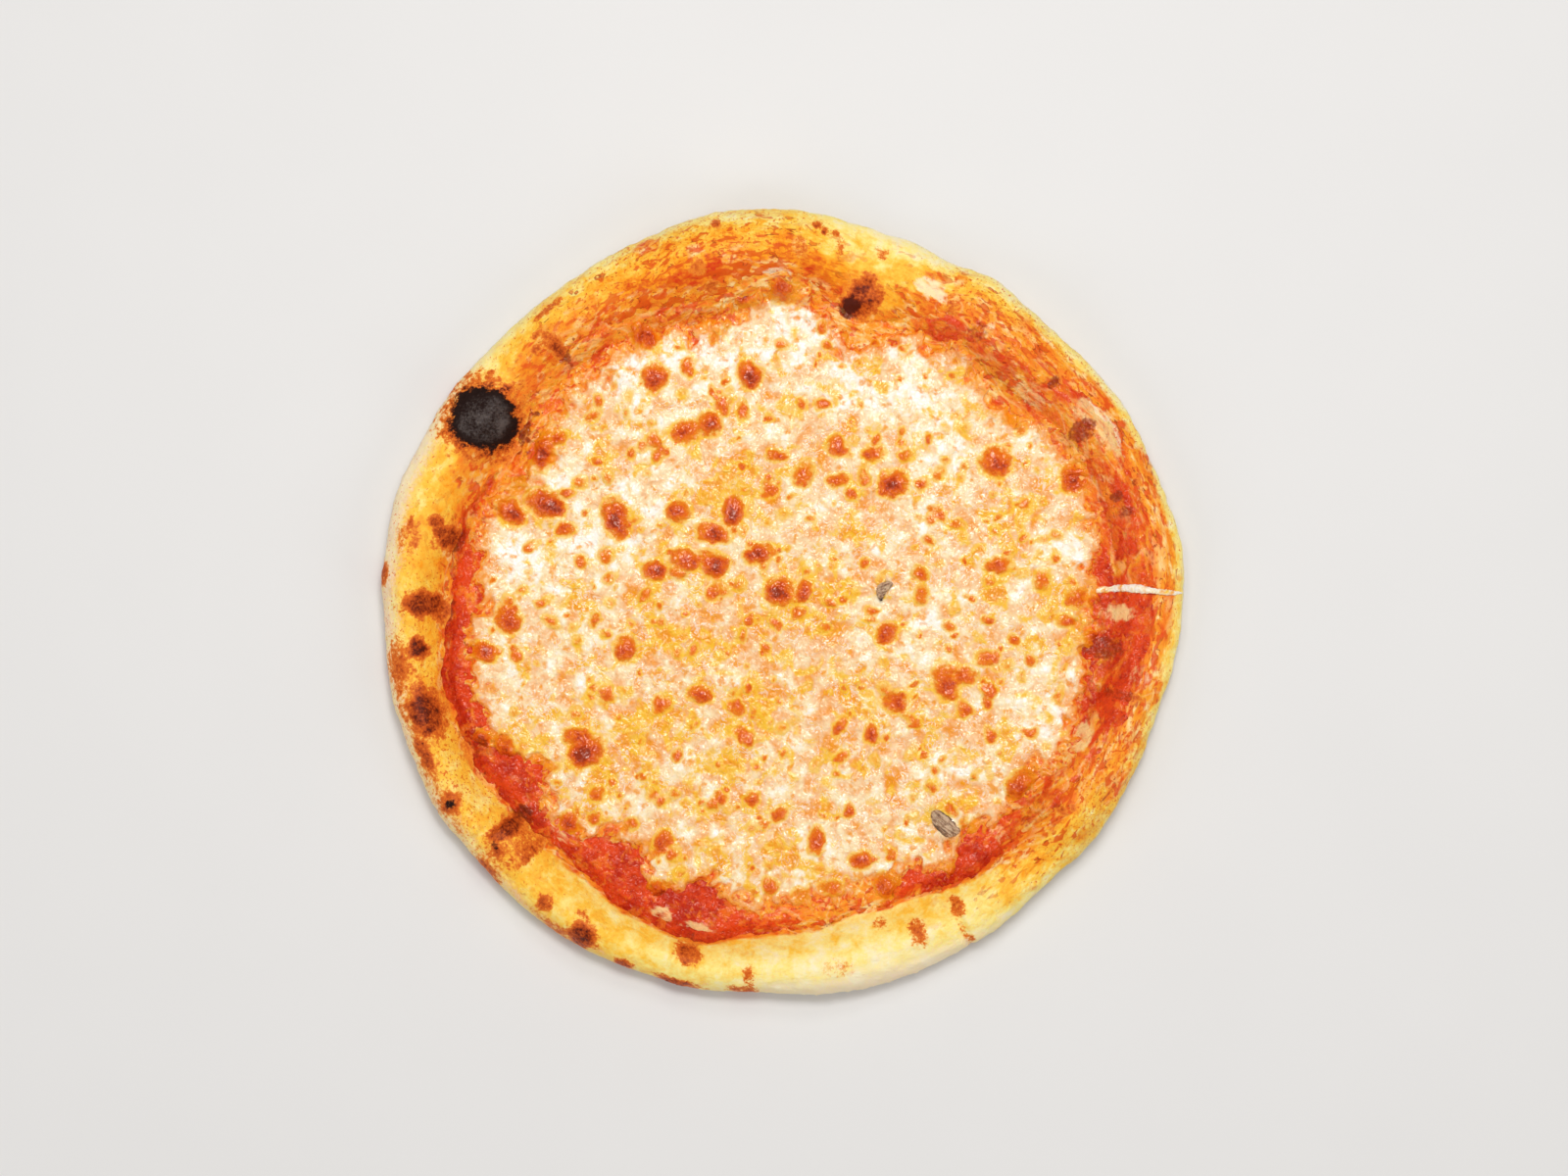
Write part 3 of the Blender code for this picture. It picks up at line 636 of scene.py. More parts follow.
def dough_finish(looks, sauce):
    """Baked dough: pale to golden, stained and streaked by sauce, toasted, charred and floury."""
    f = Finish(
        "baked_dough", Roughness=0.5, Subsurface_Weight=0.12, Subsurface_Scale=0.002, IOR=1.42,
        Specular_IOR_Level=0.14,
    )
    f.shader.inputs["Subsurface Radius"].default_value = (1.0, 0.55, 0.25)
    skin = f.skin()
    streaks = f.noise(2.0, 3.0, 0.55, 0.8, skin)
    blotches = f.noise(7.0, 3.0, 0.55, 0.5)
    fine, grains = f.noise(1.3, 3.0, 0.6), f.noise(0.9, 3.0, 0.65)
    strength = f.field("streaked")
    shift = f.scaled(f.around_half(streaks, 0.9), strength)
    warm = f.plus(f.field("warm"), shift, f.around_half(blotches, 0.95), f.around_half(fine, 0.35))
    base = f.ramp(warm, (
        (0.0, looks.pale), (0.25, looks.yellow), (0.45, looks.golden), (0.70, looks.orange),
        (1.0, looks.red),
    ))
    stain = f.plus(f.field("stained"), f.around_half(f.noise(5.0, 3.0, 0.55, 0.8, skin), 1.3), shift)
    redness = f.between(f.field("soaked"), 0.0, 0.6, -0.04, 0.12)
    base = f.mix(f.between(stain, 0.25, 0.72), base, baked_sauce(f, sauce, 4.4, redness, skin))
    soaked = f.plus(f.field("soaked"), f.around_half(f.noise(3.6, 3.0, 0.55, 0.8), 1.1))
    base = f.mix(f.between(soaked, 0.45, 0.75), base, wet_sauce(f, sauce, f.field("soaked")))
    flecks = f.plus(f.noise(2.4, 2.0, 0.5, 0.6, skin), f.around_half(f.field("warm"), 0.16))
    base = f.mix(f.scaled(f.between(flecks, 0.57, 0.62, 0.0, 0.85), strength), base, looks.fleck)
    rims = f.scaled(f.lines(flecks, 0.61, 0.04), f.between(f.noise(3.0, 2.0, 0.5, 0.0, skin), 0.54, 0.62))
    long_lines = f.lines(f.noise(3.6, 2.0, 0.5, 0.8, skin), 0.5, 0.032)
    base = f.mix(f.scaled(f.scaled(long_lines, strength), 0.35), base, looks.fleck)
    base = f.mix(f.scaled(f.scaled(rims, strength), 0.75), base, looks.browned)
    dust = f.plus(f.field("floured"), f.around_half(fine, 1.1), f.around_half(blotches, 0.7))
    dust = f.between(dust, 0.25, 1.0)
    base = f.mix(f.scaled(dust, 0.85), base, looks.flour)
    smear = f.plus(f.field("smeared"), f.around_half(f.noise(2.4, 3.0, 0.6, 0.8, skin), 2.2))
    base = f.paint(base, looks.pale, smear, 0.35, 1.1, 0.75)
    specks = f.plus(f.noise(1.1, 3.0, 0.6), f.scaled(f.field("speckled"), 0.16))
    specks = f.between(specks, 0.69, 0.77, 0.0, 0.85)
    base = f.mix(f.scaled(specks, f.between(f.field("speckled"), 0.1, 0.5)), base, looks.fleck)
    ragged = f.plus(f.around_half(grains, 1.8), f.around_half(f.noise(3.0, 3.0, 0.6), 1.7))
    near_toast = f.between(f.field("toasted"), 0.0, 0.4, 0.3, 1.0)
    leopard = f.scaled(f.around_half(f.noise(15.0, 2.0, 0.6, 0.3), 4.2), f.field("sole"))
    toast = f.scaled(f.plus(f.field("toasted"), f.scaled(ragged, near_toast), leopard), 0.64)
    crusted = f.ramp(toast, (
        (0.05, looks.golden), (0.30, looks.toasted), (0.55, looks.rusty), (0.85, looks.browned),
        (1.0, looks.scorched),
    ))
    base = f.paint(base, crusted, toast, 0.04, 0.36)
    char = f.plus(f.field("charred"), f.scaled(ragged, f.between(f.field("charred"), 0.0, 0.3, 0.0, 0.8)))
    burnt = f.between(char, 0.45, 0.95)
    # Grey over the char's middle: ash, and partly painted sheen, a painted reflection of the light.
    ash_and_sheen = f.plus(f.noise(1.0, 4.0, 0.7), f.around_half(f.noise(9.0, 1.0), 0.9))
    ash_and_sheen = f.scaled(f.between(ash_and_sheen, 0.38, 0.80), f.between(f.field("charred"), 1.1, 1.6))
    base = f.mix(burnt, base, f.mix(f.scaled(ash_and_sheen, 0.7), looks.char, looks.ash_and_sheen))
    wrinkles = f.bump(f.plus(streaks, f.scaled(grains, 0.6)), 0.4)
    return f.finish(
        Base_Color=base,
        Roughness=f.between(f.plus(burnt, f.scaled(dust, 0.6)), 0.0, 1.0, 0.4, 0.8),
        Normal=f.bump(f.noise(0.6, 2.0), 0.12, wrinkles),
    )


def make_dough(looks, sauce_looks, layers):
    solid = Solid("crust")
    rim = soften(read_rim(solid, TOPPED_RADIUS), 2)
    radius = densify(rim[:, :, 0], DIRECTIONS)
    height = densify(rim[:, :, 1], DIRECTIONS)
    angle = 2 * np.pi * np.arange(DIRECTIONS) / DIRECTIONS
    x, y = radius * np.cos(angle)[:, None], radius * np.sin(angle)[:, None]
    field = noise_over(x, y, height)
    degrees, away = photo_polar(x, y)
    # How far inside the rim's widest point each place lies.
    inwards = radius.max(1, keepdims=True) - radius
    wobble = 0.22 * field(4.0, 1) + 0.2 * field(1.6, 2)
    charred = marks(degrees, away, 0.6 * wobble, CHARRED, 0.9)
    toasted = marks(degrees, away, wobble, TOASTED, 1.1)
    side = smooth((10.0 - height) / 7.0) * (inwards < 9.0)
    depth = clamp(inwards / 22.0)
    outside, crest, foot = (around(t, degrees) for t in (WARM_OUTSIDE, WARM_CREST, WARM_FOOT))
    early, late = smooth(depth / 0.45), smooth((depth - 0.45) / 0.55)
    warm = (outside + (crest - outside) * early + (foot - crest) * late) * (1 - 0.7 * side)
    reach = 5.0 + 11.0 * around(FLOURED, degrees) ** 2
    floured = around(FLOURED, degrees) * smooth(1.1 - inwards / reach)
    floured = np.maximum(floured, 0.55 * side)
    edge = densify(soften_ring(layers[1].edge)[:, None], DIRECTIONS)
    past_sauce = radius - edge
    stain_reach = around(STAIN_REACH, degrees)
    stained = smooth(1.0 - past_sauce / (1.5 * stain_reach))
    stained = np.maximum(stained * smooth(inwards / 5.0), marks(degrees, away, wobble, STAINED))
    soaked = around(WET, degrees) * smooth(1.0 - (past_sauce + 1.0) / 3.5)

    normal = grid_normals(x, y, height)
    shown = smooth((height - 0.3) / 2.0)
    winding = [wave(angle)[:, None] * RIM_WINDING + 0 * x for wave in (np.cos, np.sin)]
    skin = np.stack([*winding, inwards], 2)
    ripples = fractal(skin.reshape(-1, 3), 2.2, 3, 3).reshape(x.shape)
    pimples = clamp(field(3.0, 4, 2) - 0.25, 0.0, 1.0)
    crackle = np.abs(field(2.0, 5, 3))
    lift = looks.wrinkles / MM * ripples * (0.4 + around(STREAKED, degrees))
    lift += looks.pimples / MM * 1.6 * pimples * (0.3 + around(FLOURED, degrees))
    lift += 0.35 * field(9.0, 6, 2)
    lift += clamp(charred) * (0.7 - 1.4 * crackle)
    lift += 0.35 * clamp(toasted) * np.abs(field(1.8, 7, 2))
    lift -= 1.2 * marks(degrees, away, 0.3 * wobble, CREASES)
    lift *= shown
    x, y, height = x + normal[:, :, 0] * lift, y + normal[:, :, 1] * lift, height + normal[:, :, 2] * lift
    height = np.maximum(height, 0.0)
    under = (height < 0.4) & (inwards > 4)
    fields = {
        "warm": np.where(under, 0.25, warm),
        "streaked": around(STREAKED, degrees) * smooth(inwards / 5.0) * ~under,
        "stained": stained * ~under,
        "soaked": soaked * ~under,
        "smeared": marks(degrees, away, wobble, SMEARED),
        "speckled": np.maximum(around(SPECKLED, degrees), 0.8 * stained) * ~under,
        "floured": np.where(under, 0.65, floured),
        "toasted": np.where(under, 0.10, toasted),
        "sole": under,
        "charred": charred * ~under,
    }
    material = dough_finish(looks, sauce_looks)
    build_shell("baked_crust", x, y, height, skin, fields, material, "crust")


def sauce_finish(looks):
    """Cooked tomato: wet and deep red where it is thick, baked on and swirled with cheese elsewhere."""
    f = Finish(
        "tomato_sauce", Subsurface_Weight=0.15, Subsurface_Scale=0.002, IOR=1.36,
        Specular_Tint=(1.0, 0.86, 0.76, 1.0),
    )
    skin = f.skin()
    pulp = f.noise(2.0, 1.5, 0.5, 0.8)
    wet = f.plus(f.field("wet"), f.around_half(f.noise(6.0, 3.0, 0.55, 0.8, skin), 1.7))
    redness = f.between(f.field("wet"), 0.2, 0.8, -0.02, 0.12)
    baked = baked_sauce(f, looks, 4.4, redness, skin)
    base = f.mix(f.between(wet, 0.30, 0.66), baked, wet_sauce(f, looks, f.field("wet")))
    smear = f.plus(f.field("smeared"), f.around_half(f.noise(2.4, 3.0, 0.6, 0.8, skin), 2.2))
    base = f.paint(base, looks.cream, smear, 0.35, 1.1, 0.75)
    dark = f.plus(f.field("toasted"), f.around_half(f.noise(1.4, 3.0), 1.2))
    crusted = f.mix(f.between(dark, 0.9, 1.5), looks.speck, looks.scorched)
    base = f.paint(base, crusted, dark, 0.40, 1.0, 0.85)
    return f.finish(
        Base_Color=base, Roughness=f.between(pulp, 0.3, 0.7, 0.10, 0.32),
        Normal=f.bump(f.noise(1.2, 1.0), 0.2, f.bump(pulp, 1.0)),
    )


def make_sauce(looks, layers):
    dough, sauce, _ = layers
    edge = densify(soften_ring(sauce.edge)[:, None], DIRECTIONS)[:, 0]
    degrees = 360.0 * np.arange(DIRECTIONS) / DIRECTIONS
    angle = np.radians(degrees)
    ring = np.stack([np.cos(angle) * SAUCE_WINDING, np.sin(angle) * SAUCE_WINDING, 0 * angle], 1)
    edge = edge + 1.0 * fractal(ring, 7.0, 11, 3) + 0.8
    start = SAUCE_START
    radii = [start * part + 0 * edge for part in (0.5, 0.85, 1.0)]
    radii += [start + (edge - start) * part for part in np.linspace(0, 1, 48)[1:]]
    radius = np.stack(radii, 1)
    turned = degrees[:, None] + 0 * radius
    x, y = radius * np.cos(angle)[:, None], radius * np.sin(angle)[:, None]
    field = noise_over(x, y, 0 * x)
    floor = dough.at(turned, radius)
    taper = smooth((edge[:, None] - radius) / 6.0)
    pulp = looks.pulp / MM
    lumps = field(2.6, 12) + 0.7 * np.abs(field(5.5, 13, 2))
    deep = np.maximum(sauce.at(turned, np.minimum(radius, edge[:, None] - 2.5)) - floor, 0.9)
    deep = np.where(radius < start + 1, sauce.at(turned, radius) - floor, np.minimum(deep, 2.2))
    top = floor - 0.25 + (deep + 0.25 + pulp * lumps * (radius > start)) * taper
    bottom = floor - 0.35
    sections = [-1, -12, -30, -46, 0]
    under_r = radius[:, sections]
    x = np.concatenate([x, under_r * np.cos(angle)[:, None]], 1)
    y = np.concatenate([y, under_r * np.sin(angle)[:, None]], 1)
    z = np.concatenate([top, bottom[:, sections]], 1)
    turned, away = photo_polar(x, y)
    wobble = 0.3 * noise_over(x, y, 0 * x)(3.0, 14)
    fields = {
        "wet": around(WET, turned),
        "smeared": marks(turned, away, wobble, SMEARED),
        "toasted": marks(turned, away, wobble, TOASTED),
    }
    rim = around(soften_ring(dough.edge), turned)
    reach = RIM_WINDING / np.maximum(np.hypot(x, y), 1.0)
    skin = np.stack([x * reach, y * reach, rim - np.hypot(x, y)], 2)
    material = sauce_finish(looks)
    build_shell("sauce_layer", x, y, z, skin, fields, material, "tomato_sauce")


# Browned bubbles of the cheese, read off the photograph: pixel, width in pixels, browning.
BROWNED = (
    (668, 385, 23, 0.85), (765, 382, 23, 0.95), (701, 440, 24, 0.80), (723, 432, 22, 0.78),
    (737, 411, 16, 0.50), (758, 418, 16, 0.45), (553, 461, 26, 0.90), (570, 447, 15, 0.70),
    (557, 514, 29, 1.00), (520, 522, 24, 0.90), (578, 540, 16, 0.65), (628, 529, 29, 0.95),
    (692, 522, 22, 0.75), (748, 521, 22, 1.10), (726, 543, 22, 0.85), (699, 571, 24, 0.75),
    (728, 576, 25, 0.90), (668, 582, 20, 0.85), (775, 565, 22, 0.85), (796, 603, 27, 0.95),
    (820, 602, 18, 0.80), (728, 604, 15, 0.60), (638, 662, 22, 0.75), (518, 631, 25, 0.80),
    (495, 665, 21, 0.80), (714, 709, 19, 0.80), (590, 752, 22, 0.75), (598, 768, 29, 1.05),
    (485, 758, 26, 0.90), (516, 765, 23, 0.85), (905, 646, 20, 0.80), (965, 696, 28, 0.75),
    (984, 690, 20, 0.65), (1008, 672, 18, 0.55), (1016, 472, 28, 0.85), (912, 494, 24, 0.95),
    (853, 455, 20, 0.65), (856, 490, 17, 0.65), (890, 463, 18, 0.65), (820, 483, 22, 0.48),
    (792, 465, 16, 0.60), (838, 412, 13, 0.50), (941, 494, 13, 0.55), (1019, 577, 20, 0.60),
    (1064, 592, 20, 0.45), (1122, 612, 17, 0.70), (1098, 610, 20, 0.50), (914, 716, 21, 0.85),
    (857, 742, 15, 0.65), (889, 750, 16, 0.75), (757, 749, 15, 0.55), (983, 724, 16, 0.55),
    (1008, 716, 13, 0.55), (618, 708, 18, 0.50), (676, 718, 18, 0.55), (833, 857, 18, 0.80),
    (879, 878, 19, 0.75), (735, 815, 15, 0.70), (767, 815, 14, 0.65), (795, 832, 14, 0.60),
    (866, 828, 13, 0.62), (676, 860, 20, 0.75), (672, 915, 26, 1.05), (905, 905, 24, 0.65),
    (848, 906, 18, 0.50), (580, 840, 18, 0.80), (1040, 800, 24, 0.75), (567, 355, 22, 0.90),
    (757, 297, 24, 1.00), (800, 290, 30, 0.70), (712, 316, 26, 0.80), (657, 340, 26, 0.80),
    (486, 495, 28, 1.00), (1100, 440, 26, 0.80), (1096, 488, 26, 0.80), (1127, 650, 26, 0.90),
    (972, 893, 18, 0.60), (940, 606, 16, 0.42), (605, 424, 14, 0.40), (618, 568, 15, 0.40),
)
# Broad patches of the cheese, read off the photograph: pixel, reach in pixels, golden (over 0) or pale.
# The pale patches are whiter cheese, and those at the top are partly painted sheen, a painted reflection
# of the light.
PATCHES = (
    (738, 500, 30, 0.9), (790, 625, 34, 0.5), (662, 742, 34, 0.8), (748, 735, 20, 0.9),
    (750, 775, 20, 0.9), (600, 618, 19, 0.9), (670, 655, 22, 0.9), (650, 613, 16, 0.9),
    (620, 797, 20, 0.8), (540, 735, 24, 0.6), (720, 665, 22, 0.5), (868, 708, 24, 0.7),
    (872, 545, 22, 0.9), (1016, 535, 26, 0.7), (1070, 615, 24, 0.7), (776, 715, 17, 0.9),
    (833, 638, 13, 0.9), (690, 820, 24, 0.5), (800, 872, 24, 0.6), (850, 595, 22, 0.5),
    (906, 378, 13, 0.9), (762, 470, 18, 0.7), (622, 465, 15, 0.7), (550, 490, 14, 0.7),
    (550, 540, 14, 0.7), (975, 543, 13, 0.9), (985, 560, 12, 0.7), (1000, 422, 12, 0.7),
    (1018, 600, 16, 0.8), (1056, 660, 14, 0.5), (762, 880, 18, 0.6), (730, 880, 15, 0.8),
    (870, 440, 12, 0.6), (918, 465, 11, 0.7), (962, 580, 10, 0.8), (640, 740, 16, 0.7),
    (1020, 770, 13, 0.6), (945, 750, 18, 0.5), (848, 772, 12, 0.6), (610, 720, 16, 0.6),
    (760, 345, 56, -1.0), (920, 372, 42, -0.9), (862, 400, 34, -0.9), (970, 430, 34, -0.9),
    (640, 385, 22, -0.8), (566, 480, 24, -0.8), (684, 500, 26, -0.9), (602, 547, 30, -0.7),
    (532, 562, 32, -0.9), (948, 545, 26, -0.8), (945, 652, 26, -0.9), (1056, 742, 22, -0.9),
    (1060, 700, 26, -0.6), (1090, 550, 24, -0.7), (1042, 440, 26, -0.6), (700, 780, 26, -0.4),
    (648, 822, 24, -0.5), (915, 850, 26, -0.7), (562, 660, 26, -0.6), (572, 712, 18, -0.7),
    (700, 350, 30, -0.7), (980, 480, 24, -0.7), (812, 350, 30, -0.9), (640, 560, 24, -0.7),
    (990, 640, 20, -0.6), (1000, 780, 24, -0.5), (880, 800, 24, -0.4), (850, 335, 24, -0.6),
    (520, 700, 20, -0.5), (960, 790, 18, -0.5),
)
FRECKLES = 480
# Where the bits of mushroom lie, in pixels, with the reach and height of the cheese raised under them.
MUSHROOM_PLACES = ((963, 842, 7.5, 1.1), (900, 601, 5.0, 0.2))
MUSHROOM_CUTS = 5
MUSHROOM_SMOOTHINGS = 3
CHEESE_CELLS = 300
# The cheese's grid is round out to this radius, and the freckles are strewn out to the next.
CHEESE_RADIUS = 118.0
FRECKLE_REACH = 112.0
# The rings of the cheese's hidden underside, as shares of its edge's radius.
CHEESE_HEM = (0.93, 0.6, 0.25)

# The string of cheese over the rim: its direction, how far up it lies, the angles beside it that are
# left out and then read, and the radii where it starts and ends.
STRING_DIRECTION = 1.6
STRING_PLACE = 4.2
STRING_SPAN = (5.5, 10.0)
STRING_INSIDE = 118.0
STRING_OUTSIDE = 150.2


def square_to_disc(count):
    """A square grid bent into a disc: directions and shares of the radius."""
    axis = np.linspace(-1, 1, count + 1)
    a, b = np.meshgrid(axis, axis, indexing="ij")
    across = np.abs(a) > np.abs(b)
    safe_a, safe_b = np.where(a == 0, 1, a), np.where(b == 0, 1, b)
    reach = np.where(across, a, b)
    angle = np.where(across, np.pi / 4 * b / safe_a, np.pi / 2 - np.pi / 4 * a / safe_b)
    return np.degrees(angle) + 180.0 * (reach < 0), np.abs(reach)


def disc_faces(count):
    """Faces of the square grid, and its outline in order."""
    index = np.arange((count + 1) ** 2).reshape(count + 1, count + 1)
    corners = [index[:-1, :-1], index[1:, :-1], index[1:, 1:], index[:-1, 1:]]
    faces = np.stack([c.ravel() for c in corners], 1).tolist()
    outline = [*index[:-1, 0], *index[-1, :-1], *index[:0:-1, -1], *index[0, :0:-1]]
    return faces, outline


def cheese_finish(looks, sauce):
    """Melted cheese: white curds, cream, thin over the sauce and oily gold, with browned bubbles."""
    f = Finish(
        "melted_cheese", Subsurface_Weight=0.12, Subsurface_Scale=0.002, IOR=1.5,
        Specular_Tint=(1.0, 0.92, 0.82, 1.0),
    )
    f.shader.inputs["Subsurface Radius"].default_value = (1.0, 0.7, 0.4)
    fine, grain = f.noise(1.9, 3.0, 0.6, 0.4), f.noise(0.9, 3.0, 0.6)
    curds, veins = f.noise(4.6, 2.0, 0.45, 0.6), f.noise(5.5, 3.0, 0.6, 1.0)
    tone = f.plus(f.field("tone"), f.around_half(f.noise(11.0, 2.0, 0.5, 0.8), 1.75))
    tone = f.plus(tone, f.around_half(curds, 0.85), f.around_half(fine, 0.28))
    base = f.ramp(tone, (
        (0.12, looks.white), (0.36, looks.cream), (0.60, looks.thin), (0.84, looks.apricot),
        (1.10, looks.golden),
    ))
    yolk = f.plus(f.field("oiled"), f.around_half(f.noise(7.5, 2.0, 0.5, 0.8), 2.8))
    yolk = f.plus(yolk, f.around_half(fine, 0.35))
    oil = f.mix(f.between(yolk, 0.50, 1.1), looks.oiled, looks.golden)
    base = f.paint(base, oil, yolk, 0.24, 0.66, 0.92)
    spots = f.plus(f.noise(4.0, 2.0, 0.5, 0.4), f.around_half(fine, 0.2))
    spots = f.plus(spots, f.scaled(f.field("oiled"), 0.06))
    base = f.paint(base, looks.golden, spots, 0.55, 0.70, 0.85)
    dots = f.plus(f.cells(3.4), f.around_half(grain, 0.25))
    seen = f.between(f.noise(8.0, 2.0), 0.46, 0.60)
    base = f.mix(f.scaled(f.between(dots, 0.12, 0.32, 0.45, 0.0), seen), base, looks.golden)
    curls = f.noise(2.6, 1.0, 0.5, 1.2)
    shown = f.between(veins, 0.46, 0.58)
    # Thin golden lines beside the painted white curls: painted shade, the dark side of each painted
    # glint.
    painted_shade_seams = f.scaled(f.lines(curls, 0.585, 0.06), shown)
    base = f.mix(f.scaled(painted_shade_seams, 0.4), base, looks.oiled)
    # Thin white curls painted into the cheese's colour: a painted highlight, standing for glints of the
    # light on its wet surface.
    painted_glint_threads = f.scaled(f.lines(curls, 0.50, 0.065), shown)
    base = f.mix(f.scaled(painted_glint_threads, 0.6), base, looks.white)
    bare = f.plus(f.field("bare"), f.around_half(veins, 1.5), f.around_half(fine, 0.6))
    base = f.paint(base, looks.apricot, bare, 0.15, 0.60, 0.85)
    base = f.mix(f.between(bare, 0.45, 0.85), base, baked_sauce(f, sauce, 4.5, 0.02))
    worn = f.plus(f.around_half(grain, 0.7), f.around_half(fine, 0.8), f.around_half(curds, 0.4))
    brown = f.plus(f.field("browned"), f.scaled(worn, f.between(f.field("browned"), 0.02, 0.5)))
    shades = f.ramp(brown, (
        (0.10, looks.golden), (0.45, looks.brown), (0.76, looks.russet), (1.0, looks.dark),
    ))
    halo = f.mix(f.between(bare, 0.2, 0.6), looks.oiled, looks.golden)
    base = f.paint(base, halo, brown, 0.0, 0.10, 0.7)
    base = f.paint(base, shades, brown, 0.08, 0.30)
    relief = f.bump(curls, 0.7, f.bump(curds, 0.35))
    beads = f.scaled(f.noise(1.2, 0.5), f.between(f.field("browned"), 0.2, 0.7, 1.0, 1.7))
    return f.finish(
        Base_Color=base, Roughness=f.between(fine, 0.3, 0.7, 0.06, 0.2),
        Normal=f.bump(beads, 0.28, relief),
    )


def strewn_freckles(reach):
    """Small golden freckles strewn over the cheese: x, y, width and browning."""
    draw = random.Random(8)
    rows = []
    for _ in range(FRECKLES):
        radius, angle = reach * math.sqrt(draw.random()), draw.uniform(0, 2 * math.pi)
        width = 2.0 + 3.8 * draw.random() ** 2
        browning = 0.14 + 0.42 * draw.random() ** 1.4
        rows.append((radius * math.cos(angle), radius * math.sin(angle), width, browning))
    return rows


